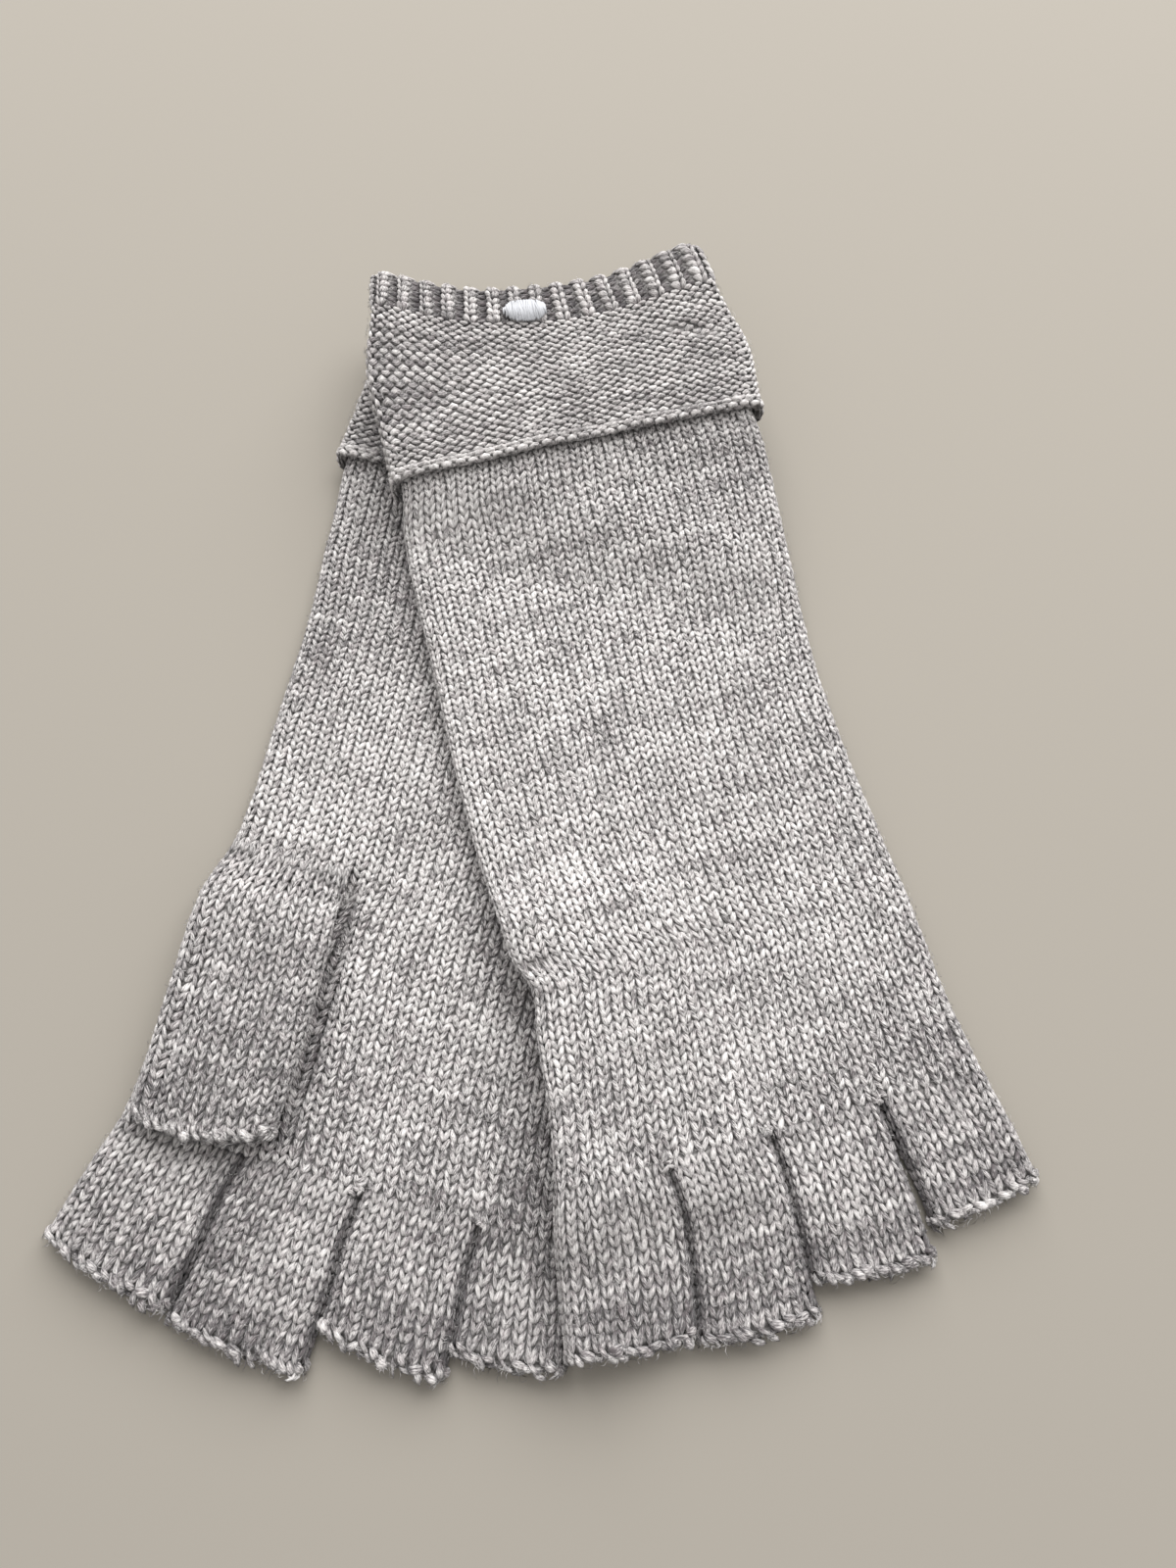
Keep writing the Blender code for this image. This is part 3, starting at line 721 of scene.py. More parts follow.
def hand_fabric(glove):
    """The hand and wrist: a flat tube whose courses vary in height, and curve like the fold near it."""
    v, count = stations()
    courses = int(round(-np.interp(HAND_FIRST, v, count)))
    width = hand_width(glove)

    def wall_lift(u, v):
        """The wall dips further and more widely beside the thumb, clear of the stitches."""
        deep, at, wide = WALL_GROOVE
        away = u - thumb("right", v) - at
        dip = deep * bell(away, wide) * smooth((v - THUMB_FOOT + WALL_EARLY) / GROOVE_FADE[0]) * (v < 0.0)
        return relief(glove, u, v) - (dip if glove == "lower" else 0.0)

    def skin(i, j, grow):
        station = np.interp(j - courses, count, v)
        station = station + np.maximum(j - courses, 0.0) * FINGER_COURSE
        section = outline(i / HAND_WALES + 0.0 * j, width, TUBE, EDGE_ROUND)
        rise = wall_lift if grow < 0.0 else relief_of(glove)
        return flat_tube(section, course(glove, station), hand_sides(glove), hand_faces(glove), grow, rise)

    return Fabric(glove, skin, HAND_WALES, courses)


def end_line(corners, bulge, left, right):
    """v along a tube's open end, bowed out between its two corners."""

    def line(u):
        share = np.clip((u - left) / (right - left), 0.0, 1.0)
        bow = bulge * (1.0 - (2.0 * share - 1.0) ** 2)
        return corners[0] + (corners[1] - corners[0]) * share + bow

    return line


def finger_sides(glove, number):
    """A function of v that gives a finger's two edges: a slit's side, or the glove's own edge."""

    def slit(v, which, side):
        half = np.interp(v, (SLIT_V[0], SLIT_V[-1]), (SLIT_HALF, SLIT_HALF_END[glove][which]))
        half = np.maximum(half - SLIT_PRESS, SLIT_LEAST)
        return through(v, SLIT_V, SLITS[glove][which]) + side * half

    def sides(v):
        left = slit(v, number - 1, 1.0) if number > 0 else edge(glove, "left", v)
        right = slit(v, number, -1.0) if number < len(SLITS[glove]) else edge(glove, "right", v)
        return left, right

    return sides


def finger_fabric(glove, number):
    """A half finger. Its courses fan out evenly from the crotch to its slanted, bowed end."""
    sides = finger_sides(glove, number)
    corners = FINGER_ENDS[glove][number]
    left, right = sides(np.mean(corners))
    end = end_line(corners, FINGER_BULGE, left, right)
    courses = int(round(np.mean(corners) / FINGER_COURSE))
    wales = 2 * int(round((right - left + FINGER_EASE) / FINGER_WALE))

    def faces(u, v):
        bottom = underside(glove, u, v)
        return bottom, bottom + finger_thick(v)

    def skin(i, j, grow):
        section = outline(i / wales + 0.0 * j, right - left, FINGER, FINGER_ROUND)
        return flat_tube(section, lambda u: end(u) * j / courses, sides, faces, grow, relief_of(glove), SKIRT)

    return Fabric(glove, skin, wales, courses)


def thumb_fabric(glove):
    """A half thumb on the lower glove's palm, thin at its foot, or flat under the upper glove's palm."""

    def sides(v):
        return edge(glove, "left", v) + thumb("inset", v), thumb("right", v)

    def faces(u, v):
        if glove == "upper":
            return over_lower(u, v), underside(glove, u, v) - GAP - THUMB_EASE
        rise = smooth((v - THUMB_FOOT) / THUMB_RISE)
        bottom = underside(glove, u, v) + TUBE + GAP * rise
        return bottom, bottom + THUMB_THIN + (THUMB - THUMB_THIN) * rise

    left, right = sides(np.mean(THUMB_END))
    end = end_line(THUMB_END, THUMB_BULGE, left, right)
    courses = int(round((np.mean(THUMB_END) - THUMB_FOOT) / THUMB_COURSE))

    def folded(u, v):
        """The palm's own relief, and a soft valley that slants just inside the thumb's left edge."""
        deep, wide, inside = THUMB_VALLEY
        away = u - (edge(glove, "left", v) + inside + VALLEY_SLANT * (v - VALLEY_V))
        return relief(glove, u, v) - deep * bell(away, wide) * smooth((v - VALLEY_FOOT[0]) / VALLEY_FOOT[1])

    def skin(i, j, grow):
        section = outline(i / THUMB_WALES + 0.0 * j, right - left, THUMB, FINGER_ROUND)
        rise = folded if glove == "lower" else None

        def line(u):
            return THUMB_FOOT + (end(u) - THUMB_FOOT) * j / courses

        return flat_tube(section, line, sides, faces, grow, rise)

    return Fabric(glove, skin, THUMB_WALES, courses)


def cuff_tube(glove, i, station, grow):
    """Places on the cuff's surface at wale i, counted from the middle of its right edge, because it is
    knitted the other way: from its free edge towards the fold."""
    section = cuff_section(glove, i, station)
    line = course(glove, station)
    return flat_tube(section, line, cuff_sides(glove), hand_faces(glove), grow, relief_of(glove))


def cuff_section(glove, i, station):
    """The cuff's outline, which goes round the hand's."""
    share = 0.5 - i / HAND_WALES + 0.0 * station
    return outline(share, hand_width(glove), TUBE + 2.0 * UNDER_CUFF, EDGE_ROUND)


def band_fabric(glove):
    """The cuff's plain band, from its free edge towards the fold."""
    high = CUFF_TOP[glove]["v"] + RIB_LONG
    courses = int(round((CUFF_LOW - high) / CUFF_COURSE))

    def skin(i, j, grow):
        return cuff_tube(glove, i, CUFF_LOW + (high - CUFF_LOW) * j / courses, UNDER_CUFF + grow)

    return Fabric(glove, skin, HAND_WALES, courses)


def rib_fabric(glove):
    """The ribbed stretch: up the outside, half round the fold and down the inside. Every second wale is a
    rib, a cosine made steeper, which fades out below the cuff's sides, at the band and inside the fold."""
    radius = (UNDER_CUFF + WALL) / 2.0
    straight = RIB_LONG - radius
    length = straight + math.pi * radius + RIB_INSIDE
    courses = int(round(length / CUFF_COURSE))
    height = length / courses

    def skin(i, j, grow):
        run = j * height
        turn = np.clip((run - straight) / radius, 0.0, math.pi)
        beyond = np.maximum(run - straight - math.pi * radius, 0.0)
        down = radius + np.maximum(straight - run, 0.0) + beyond - (radius + grow) * np.sin(turn)
        out = UNDER_CUFF - radius + (radius + grow) * np.cos(turn)
        station = CUFF_TOP[glove]["v"] + down
        p = cuff_section(glove, i, station)[1]
        wave = RIB_HIGH * np.tanh(RIB_STEEP * np.cos(math.pi * (i - 0.5)))
        wave = wave * smooth((p - RIB_SIDE[0]) / RIB_SIDE[1]) * smooth(run / RIB_START)
        wave = wave * (1.0 - smooth((turn - RIB_END[0]) / RIB_END[1]))
        return cuff_tube(glove, i, station, out + wave)

    return Fabric(glove, skin, HAND_WALES, courses)


# ---------------------------------------------------------------- meshes


def surface(name, points, corners, starts):
    """A mesh of points and of faces, given as one row of corners and where each face starts in it."""
    mesh = bpy.data.meshes.new(name)
    mesh.vertices.add(len(points))
    mesh.vertices.foreach_set("co", np.ascontiguousarray(points, np.float32).ravel())
    mesh.loops.add(len(corners))
    mesh.loops.foreach_set("vertex_index", corners.astype(np.int32))
    mesh.polygons.add(len(starts))
    mesh.polygons.foreach_set("loop_start", starts.astype(np.int32))
    mesh.update(calc_edges=True)
    mesh.validate()
    mesh.shade_smooth()
    return mesh


def note(mesh, name, kind, values):
    """A named value on each of a mesh's points, which its material reads."""
    held = mesh.attributes.new(name, kind, "POINT")
    held.data.foreach_set("vector" if kind == "FLOAT_VECTOR" else "value", values.astype(np.float32).ravel())


def piece(name, mesh, finish):
    """A mesh as a piece of the part: it rides on the one body and takes its finish from a slot."""
    made = bpy.data.objects.new(name, mesh)
    bpy.context.collection.objects.link(made)
    made.data.materials.append(finish)
    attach(made, "root")
    return made


def wall(name, fabric, rows, depth=WALL, fine=1):
    """The cloth under the yarn as a closed wall: the outer surface at each row's course, moved in, then the
    inner surface back, closed into a ring both ways. fine is the number of columns to a wale."""
    i = np.arange(fabric.wales * fine)[None, :] / fine
    j = np.asarray(rows, float)[:, None]
    outer = fabric.skin(i, j, -BASE_DEPTH)
    inner = fabric.skin(i, j[::-1], -depth)
    places = np.concatenate((outer, inner))
    places[..., 2] = np.maximum(places[..., 2], WALL_LEAST)
    points = in_scene(fabric.glove, places)
    rows, columns = points.shape[:2]
    row, column = np.meshgrid(np.arange(rows), np.arange(columns), indexing="ij")
    right, below = (column + 1) % columns, (row + 1) % rows
    here, there = row * columns, below * columns
    corners = np.stack((there + column, there + right, here + right, here + column), -1).ravel()
    mesh = surface(name, points.reshape(-1, 3), corners, np.arange(0, len(corners), 4))
    gauge = np.stack(np.broadcast_arrays(i * 1.0, np.concatenate((j, j[::-1])), 0.0), -1)
    note(mesh, "gauge", "FLOAT_VECTOR", gauge)
    return piece(name, mesh, finishes["cloth"])


def spread_out(value, count):
    """One number, or one for each strand, as a column."""
    return np.broadcast_to(np.asarray(value, float), (count,))[:, None]


def ends_painted_shade(share):
    """Painted shade along a strand: it is darker where it comes up out of the cloth and goes down again."""
    root = ROOT_SHADE * (1.0 - smooth(share / ROOT_SHARE))
    return -root - TIP_SHADE * smooth(share / TIP_SHARE - (1.0 - TIP_SHARE) / TIP_SHARE)


class Yarn:
    """Strands of yarn gathered into one mesh.

    A strand is a tube of four sides: a ring of four points at each inner row of its path and one point at
    each end. SECTION gives a ring's points beside the path and above it, in half widths of the yarn: low at
    the two sides and high on the back, which is slightly flattened."""

    SECTION = ((1.0, -0.10), (0.52, 0.50), (-0.52, 0.50), (-1.0, -0.10))
    SIDES = len(SECTION)
    SPREADS = {"length": 0.03, "across": 0.04, "along": 0.05, "turn": 0.08, "height": 0.05, "thick": 0.11}
    SEEDS = 50.0  # how far apart the fibres of two strands may be in the material's noise
    CELL_EDGE = 0.08  # share of a strand's cell in the map that is left empty on each side

    def __init__(self, name, fabric, tone=0.0):
        self.name = name
        self.fabric = fabric
        self.tone = tone
        self.random = np.random.default_rng(list(name.encode()))
        self.points, self.corners, self.starts = [], [], []
        self.shades, self.runs, self.maps = [], [], []
        self.strands = self.vertices = self.loops = 0

    def lay(self, form, i, j, side=1.0, size=1.0, lift=0.0, lean=0.0, uneven=1.0, bright=0.0, long=1.0):
        """Lays one strand at each wale i and course j. side mirrors its path, and size, lift, lean, bright
        and long change its thickness, height, turn, lightness and length. uneven is how much they differ."""
        if not len(i):
            return
        rows = np.array(form)
        count, rings = len(i), len(rows) - 2

        def draw(what):
            return self.random.normal(0.0, self.SPREADS[what] * uneven, (count, 1))

        def along_strand(line, ring):
            return np.concatenate((line[:, :1], ring.reshape(count, -1), line[:, -1:]), 1)

        wale, height = self.fabric.wale, self.fabric.course
        long = spread_out(long, count) * (1.0 + draw("length"))
        x = (side * rows[:, 1] * long + draw("across")) * wale
        y = (rows[:, 2] * long + draw("along")) * height
        middle_x, middle_y = x.mean(1, keepdims=True), y.mean(1, keepdims=True)
        turn = spread_out(lean, count) + draw("turn")
        x, y = x - middle_x, y - middle_y
        x, y = x * np.cos(turn) - y * np.sin(turn) + middle_x, x * np.sin(turn) + y * np.cos(turn) + middle_y
        h = rows[:, 3] - YARN_DEPTH + lift + draw("height")
        thick = rows[:, 4] * size * (1.0 + draw("thick"))
        slope_x, slope_y = np.gradient(x, axis=1), np.gradient(y, axis=1)
        length = np.maximum(np.hypot(slope_x, slope_y), TINY)
        beside_x, beside_y = slope_y / length, -slope_x / length
        section = np.array(self.SECTION)
        reach = thick[:, 1:-1, None] * section[:, 0]
        x_all = along_strand(x, x[:, 1:-1, None] + reach * beside_x[:, 1:-1, None])
        y_all = along_strand(y, y[:, 1:-1, None] + reach * beside_y[:, 1:-1, None])
        h_all = along_strand(h, h[:, 1:-1, None] + thick[:, 1:-1, None] * section[:, 1])
        stray_i, stray_j = stray(self.fabric, i, j)
        wales = (i + stray_i)[:, None] + x_all / wale
        courses = (j + stray_j)[:, None] + y_all / height
        places = self.fabric.at(wales, courses, h_all)
        places[..., 2] = np.maximum(places[..., 2], 0.0)
        self.points.append(in_scene(self.fabric.glove, places).reshape(-1, 3))
        self.join(form, count, rings)
        tone = marl(self.random, self.fabric.wales, i, j) + self.tone + bright
        tone = tone + painted_light_and_shade(self.fabric.glove, places[:, 0, 0], -places[:, 0, 1])
        self.shades.append((tone[:, None] + self.each_point(ends_painted_shade(rows[:, 0]))).ravel())
        run = np.concatenate(([0.0], np.cumsum(np.hypot(np.diff(x[0]), np.diff(y[0])))))
        middle = (self.SIDES - 1) / 2.0
        turns = np.concatenate(([middle], np.tile(np.arange(self.SIDES), rings), [middle]))
        seed = self.random.uniform(0.0, self.SEEDS, (count, 1))
        self.runs.append(np.stack(np.broadcast_arrays(self.each_point(run), turns, seed), -1).reshape(-1, 3))

    def each_point(self, row):
        """A value for each row of a path, repeated round its rings."""
        return np.concatenate((row[:1], np.repeat(row[1:-1], self.SIDES), row[-1:]))

    def join(self, form, count, rings):
        """The faces of a batch of strands: a fan at each end and four-cornered faces between the rings. Each
        corner's place in the strand's own cell of the map is its share along and its quarter turn."""
        share = np.array(form)[:, 0]
        last = rings * self.SIDES + 1
        faces, cells = [], []
        for k in range(self.SIDES):
            after = (k + 1) % self.SIDES
            faces.append((0, 1 + after, 1 + k))
            cells.append(((0.0, k + 0.5), (share[1], k + 1), (share[1], k)))
            for ring in range(rings - 1):
                low, high = 1 + ring * self.SIDES, 1 + (ring + 1) * self.SIDES
                faces.append((low + k, low + after, high + after, high + k))
                ends = (share[ring + 1], share[ring + 2])
                cells.append(((ends[0], k), (ends[0], k + 1), (ends[1], k + 1), (ends[1], k)))
            faces.append((last - self.SIDES + k, last - self.SIDES + after, last))
            cells.append(((share[-2], k), (share[-2], k + 1), (1.0, k + 0.5)))
        corners = np.concatenate([np.array(face) for face in faces])
        starts = np.cumsum([0] + [len(face) for face in faces[:-1]])
        order = np.arange(count)
        self.corners.append((corners + order[:, None] * (last + 1) + self.vertices).ravel())
        self.starts.append((starts + order[:, None] * len(corners) + self.loops).ravel())
        spots = np.concatenate([np.array(cell) for cell in cells]) / (1.0, self.SIDES)
        self.maps.append((spots[None], (order + self.strands)[:, None]))
        self.vertices += count * (last + 1)
        self.loops += count * len(corners)
        self.strands += count

    def knit(self, finish):
        """All strands so far as one piece, with its bake map: a square of equal cells, one to a strand."""
        points, corners, starts = (np.concatenate(part) for part in (self.points, self.corners, self.starts))
        mesh = surface(self.name, points, corners, starts)
        note(mesh, "shade", "FLOAT", np.concatenate(self.shades))
        note(mesh, "run", "FLOAT_VECTOR", np.concatenate(self.runs))
        side = math.ceil(math.sqrt(self.strands))
        cells = []
        for spots, order in self.maps:
            corner = np.stack((order % side, order // side), -1)
            inner = self.CELL_EDGE + (1.0 - 2.0 * self.CELL_EDGE) * spots
            cells.append(((corner + inner) / side).reshape(-1, 2))
        layer = mesh.uv_layers.new(name="OFBake", do_init=False)
        layer.uv.foreach_set("vector", np.concatenate(cells).astype(np.float32).ravel())
        return piece(self.name, mesh, finish)


def painted_light_and_shade(glove, u, v):
    """Painted light and shade: how much lighter or darker the cloth is in broad parts, partly the yarn's own
    tone, and the painted shadow close beside what lies on it.
    """
    tone = np.interp(v, *np.transpose(SHADE_ALONG_V))
    for at_u, at_v, wide, long, light in LIGHT_AND_SHADE_ZONES[glove]:
        tone = tone + light * np.exp(-(((u - at_u) / wide) ** 2) - ((v - at_v) / long) ** 2)
    if glove == "lower":
        other_u, other_v = from_table("upper", *to_table("lower", u, v))
        left = edge("upper", "left", other_v)
        tone = tone - EDGE_SHADE * bell(np.minimum(other_u - left, 0.0), EDGE_SHADE_WIDE)
    return tone


def stray(fabric, i, j):
    """How far, in wales and in courses, the knitting strays from its even grid: slow waves that close round
    the tube."""
    turn = math.tau * i / fabric.wales

    def waves(rows):
        return sum(size * np.sin(phase + times * turn + each * j) for size, phase, times, each in rows)

    return waves(STRAY_ACROSS), waves(STRAY_ALONG)


def marl(random, wales, i, j):
    """The lightness of each stitch: a random line along the yarn, which winds round the tube course by
    course, made of a short and a longer wave, and a little more for each stitch."""
    run = np.abs(np.floor(j) * wales + i)
    total = MARL_MIDDLE
    for length, spread in MARL_WAVES:
        values = random.normal(0.0, spread, int(run.max() / length) + 3)
        total = total + np.interp(run / length, np.arange(len(values)), values)
    return total + random.normal(0.0, MARL_EACH, len(i))


# ---------------------------------------------------------------- materials


class Value:
    """A number on its way through a material. Sums, products and the like of it add Math nodes."""

    def __init__(self, finish, socket):
        self.finish = finish
        self.socket = socket

    def math(self, operation, *others):
        return self.finish.node("ShaderNodeMath", {"operation": operation}, [self, *others]).value()

    def __add__(self, other):
        return self.math("ADD", other)

    __radd__ = __add__

    def __mul__(self, other):
        return self.math("MULTIPLY", other)

    __rmul__ = __mul__

    def __sub__(self, other):
        return self.math("SUBTRACT", other)

    def __rsub__(self, other):
        return (self * -1.0) + other

    def clamp(self, low=0.0, high=1.0):
        return self.math("MAXIMUM", low).math("MINIMUM", high)

    def sine(self):
        return self.math("SINE")


class Made:
    """A node that was added, with its outputs."""

    def __init__(self, finish, node):
        self.finish = finish
        self.node = node

    def value(self, name=0):
        return Value(self.finish, self.node.outputs[name])


class Finish:
    """A material under construction."""

    SHINE = 0.2
    SHEEN_ROUGH = 0.5

    def __init__(self, name, roughness, sheen=0.0):
        self.material = bpy.data.materials.new(name)
        self.material.use_nodes = True
        self.tree = self.material.node_tree
        self.shader = self.tree.nodes["Principled BSDF"]
        self.shader.inputs["Roughness"].default_value = roughness
        self.shader.inputs["Specular IOR Level"].default_value = self.SHINE
        self.shader.inputs["Sheen Weight"].default_value = sheen
        self.shader.inputs["Sheen Roughness"].default_value = self.SHEEN_ROUGH

    def node(self, kind, settings, sockets):
        """Adds a node: its settings first, then its sockets, from a list in order or a dict by name."""
        made = self.tree.nodes.new(kind)
        for name, value in settings.items():
            if name == "stops":
                self.set_stops(made.color_ramp, value)
            else:
                setattr(made, name, value)
        named = sockets.items() if isinstance(sockets, dict) else enumerate(sockets)
        for name, value in named:
            if isinstance(value, Value):
                self.tree.links.new(value.socket, made.inputs[name])
            else:
                made.inputs[name].default_value = value
        return Made(self, made)

    def set_stops(self, ramp, stops):
        while len(ramp.elements) < len(stops):
            ramp.elements.new(0.5)
        for element, (place, colour) in zip(ramp.elements, stops):
            element.position = place
            element.color = (*colour, 1.0)

    def attribute(self, name):
        return self.node("ShaderNodeAttribute", {"attribute_name": name}, {})

    def parts(self, vector):
        """The three numbers of a vector."""
        split = self.node("ShaderNodeSeparateXYZ", {}, [vector])
        return split.value(0), split.value(1), split.value(2)

    def vector(self, x, y, z):
        return self.node("ShaderNodeCombineXYZ", {}, [x, y, z]).value()

    def noise(self, vector, scale, detail=2.0, roughness=0.5):
        """Random clouds between 0 and 1."""
        sockets = {"Vector": vector, "Scale": scale, "Detail": detail, "Roughness": roughness}
        return self.node("ShaderNodeTexNoise", {"noise_dimensions": "3D"}, sockets).value("Fac")

    def ramp(self, value, stops):
        """A number read as a colour."""
        return self.node("ShaderNodeValToRGB", {"stops": stops}, [value]).value("Color")

    def mix(self, share, one, other):
        """A colour between two. The Mix node's sockets for colours are its number 6 and 7."""
        sockets = {0: share, 6: one, 7: other}
        return self.node("ShaderNodeMix", {"data_type": "RGBA"}, sockets).value(2)

    def colour(self, value):
        self.tree.links.new(value.socket, self.shader.inputs["Base Color"])

    def bump(self, height, distance, strength=1.0):
        sockets = {"Height": height, "Distance": distance, "Strength": strength}
        made = self.node("ShaderNodeBump", {}, sockets)
        self.tree.links.new(made.node.outputs["Normal"], self.shader.inputs["Normal"])


# Colours from the darkest lightness to the lightest: the yarn's, and the cloth's under it, painted darker as
# the shade between the stitches
MARL = (
    (0.0, (0.05, 0.045, 0.047)),
    (0.25, (0.21, 0.197, 0.197)),
    (0.5, (0.43, 0.41, 0.40)),
    (0.75, (0.575, 0.556, 0.543)),
    (1.0, (0.65, 0.63, 0.617)),
)
MARL_SHADED_WALL = (
    (0.0, (0.04, 0.037, 0.0375)),
    (0.5, (0.20, 0.190, 0.186)),
    (1.0, (0.37, 0.357, 0.349)),
)
MARL_TINT = (0.46, 0.37, 0.38, 1.0)
FIBRE_ROUND = 3.2  # how often fibres change in a quarter turn of a strand, and in a millimetre along it
FIBRE_SLANT = 0.9
FIBRE_ALONG = 0.9
FIBRE_BUMP = 0.0003  # metres, as the other bumps
PATCH_SCALE = 95.0  # turns of the broader patches in a metre
PATCH_STRONG = 0.45
TINT_SCALE = 420.0
TINT_FROM = 0.4
TINT_STRONG = 0.3
CLOTH_SCALE = 700.0
CLOTH_LOOPS = 0.06
CLOTH_BUMP = 0.0002
THREAD_ROUND = 1.2
THREAD_SLANT = 2.4
THREAD_ALONG = 0.3
THREAD_DARK = 0.8
THREAD_BUMP = 0.00006
CLOUD_SCALE = 6.0
CLOUD_STRONG = 0.2
CLOUD_DARK = 0.9
# The yarn's finishes by name, each with its contrast against the hand's
YARNS = {"yarn": 1.0, "yarn_thumb": 0.85, "yarn_finger": 0.62, "yarn_cuff": 0.6}

finishes = {}


def opaque(colour, light=1.0):
    """A colour, made darker by light, with the fourth number that a socket takes."""
    return tuple(light * part for part in colour) + (1.0,)


def yarn_finish(name, contrast):
    """Marl yarn: light and dark fibres slant round the strand. Their pattern, the stitch's lightness, which
    holds its marl and painted light and shade, and broad patches together are read as a colour from dark to
    light."""
    finish = Finish(name, roughness=0.9, sheen=0.2)
    run, turn, seed = finish.parts(finish.attribute("run").value("Vector"))
    shade = finish.attribute("shade").value("Fac")
    places = finish.node("ShaderNodeTexCoord", {}, {}).value("Object")
    slant = turn * FIBRE_ROUND + run * FIBRE_SLANT
    grain = finish.vector(slant, run * FIBRE_ALONG, seed)
    fibre = finish.noise(grain, 1.0, detail=2.5, roughness=0.65)
    patch = finish.noise(places, PATCH_SCALE)
    tone = shade + (fibre - 0.5) * contrast + (patch - 0.5) * PATCH_STRONG
    grey = finish.ramp(tone.clamp(), MARL)
    tint = finish.noise(places, TINT_SCALE, detail=1.0)
    finish.colour(finish.mix((tint - TINT_FROM).clamp() * TINT_STRONG, grey, MARL_TINT))
    finish.bump(fibre, FIBRE_BUMP)
    return finish.material


def cloth_finish():
    """The wall under the yarn, seen between stitches and inside: marl painted dark as the shade between
    stitches, with low rows of purl loops.
    """
    finish = Finish("cloth_inside", roughness=0.95)
    wale, row, _ = finish.parts(finish.attribute("gauge").value("Vector"))
    places = finish.node("ShaderNodeTexCoord", {}, {}).value("Object")
    loops = (wale * math.tau).sine() * 0.5 + (row * math.tau).sine()
    marls = finish.noise(places, CLOTH_SCALE, detail=3.0, roughness=0.6)
    finish.colour(finish.ramp((marls + loops * CLOTH_LOOPS).clamp(), MARL_SHADED_WALL))
    finish.bump(loops + marls, CLOTH_BUMP)
    return finish.material


def thread_finish(colour):
    """White satin thread: fine strands slant round it, a little lighter and darker."""
    finish = Finish("white_thread", roughness=0.6, sheen=0.1)
    run, turn, seed = finish.parts(finish.attribute("run").value("Vector"))
    slant = turn * THREAD_ROUND + run * THREAD_SLANT
    twist = finish.noise(finish.vector(slant, run * THREAD_ALONG, seed), 1.0)
    finish.colour(finish.mix(twist, opaque(colour), opaque(colour, THREAD_DARK)))
    finish.bump(twist, THREAD_BUMP)
    return finish.material


def floor_finish(colour):
    """Plain paint with faint, broad clouds."""
    finish = Finish("floor_paint", roughness=0.9)
    places = finish.node("ShaderNodeTexCoord", {}, {}).value("Object")
    clouds = finish.noise(places, CLOUD_SCALE)
    finish.colour(finish.mix(clouds * CLOUD_STRONG, opaque(colour), opaque(colour, CLOUD_DARK)))
    return finish.material


# ---------------------------------------------------------------- where the yarn goes


def where(fabric, i, j):
    """u and v of each stitch."""
    place = fabric.at(i, j, np.zeros(len(i)))
    return place[:, 0], -place[:, 1]


def inside_glove(glove, u, v, margin):
    """Whether a place lies inside a glove's outline by a margin. Its fingers' ends don't count."""
    left, right = edge(glove, "left", v), edge(glove, "right", v)
    low = CUFF_TOP[glove]["v"] + margin
    high = COVERED_TO - margin
    return (u > left + margin) & (u < right - margin) & (v > low) & (v < high)


def on_thumb(glove, u, v, margin):
    """Whether a place lies inside the thumb's outline by a margin."""
    left = edge(glove, "left", v) + thumb("inset", v)
    inside = (u > left + margin) & (u < thumb("right", v) - margin)
    return inside & (v > THUMB_FOOT + margin) & (v < np.mean(THUMB_END) - margin)


def hidden(fabric, i, j, top):
    """Whether a stitch of the upper or the lower face lies between the two gloves, where nothing shows it."""
    glove = fabric.glove
    other = "upper" if glove == "lower" else "lower"
    if top != (glove == "lower"):
        return np.zeros(len(i), bool)
    u, v = from_table(other, *to_table(glove, *where(fabric, i, j)))
    return inside_glove(other, u, v, HIDDEN_MARGIN)


def stitches(fabric):
    """The middle of every stitch of a tube, as a wale and a course."""
    i, j = np.meshgrid(np.arange(fabric.wales) + 0.5, np.arange(fabric.courses), indexing="xy")
    return i.ravel(), j.ravel().astype(float)


def faces_of(fabric, i):
    """The tube's upper face and its lower one: whether each is the upper, and which stitches lie on it."""
    half = fabric.wales / 2
    return ((True, i < half), (False, i > half))


def lay_knit(yarn, form, i, j, size=1.0, twist=0.0, bright=0.0):
    """The two legs of each knit stitch. twist makes one leg stand more upright and thinner than the other."""
    for side in (-1.0, 1.0):
        thick = size * (1.0 + side * TWIST_THICK * twist)
        yarn.lay(form, i, j, side=side, size=thick, lean=-twist, uneven=KNIT_UNEVEN, bright=bright)


def lay_cast_off(yarn):
    """A cast-off edge: uneven slanting links round the rim, a plainer row that covers the wall's end, a loose
    end at its right corner and fuzz all along."""
    wales, last = yarn.fabric.wales, yarn.fabric.courses
    random = yarn.random
    for shift, along, high, size, bright in CAST_OFF_ROWS:
        lean = random.normal(*CAST_OFF_LEAN, wales)
        j = last + along + random.normal(0.0, CAST_OFF_STRAY, wales)
        i = np.arange(wales) + shift
        yarn.lay(CHAIN_LINK, i, j, size=size, lift=high, lean=lean, uneven=2.6, bright=bright)
    yarn.lay(RIM_LINK, np.arange(wales) + 0.5, np.full(wales, last - RIM_COURSE), lift=-0.05, uneven=1.6)
    ends = LOOSE_ENDS
    i = np.full(ends, wales / 2.0 - LOOSE_WALE) + random.normal(0.0, LOOSE_STRAY, ends)
    j = np.full(ends, last + LOOSE_COURSE)
    lean = random.normal(*LOOSE_LEAN, ends)
    yarn.lay(YARN_END, i, j, size=0.7, lift=0.1, lean=lean, uneven=2.0, bright=0.3, long=0.55)
    i = random.uniform(0.0, wales, wales * CAST_OFF_FUZZ)
    lay_hair(yarn, i, last + random.normal(*CAST_OFF_FUZZ_AT, len(i)))


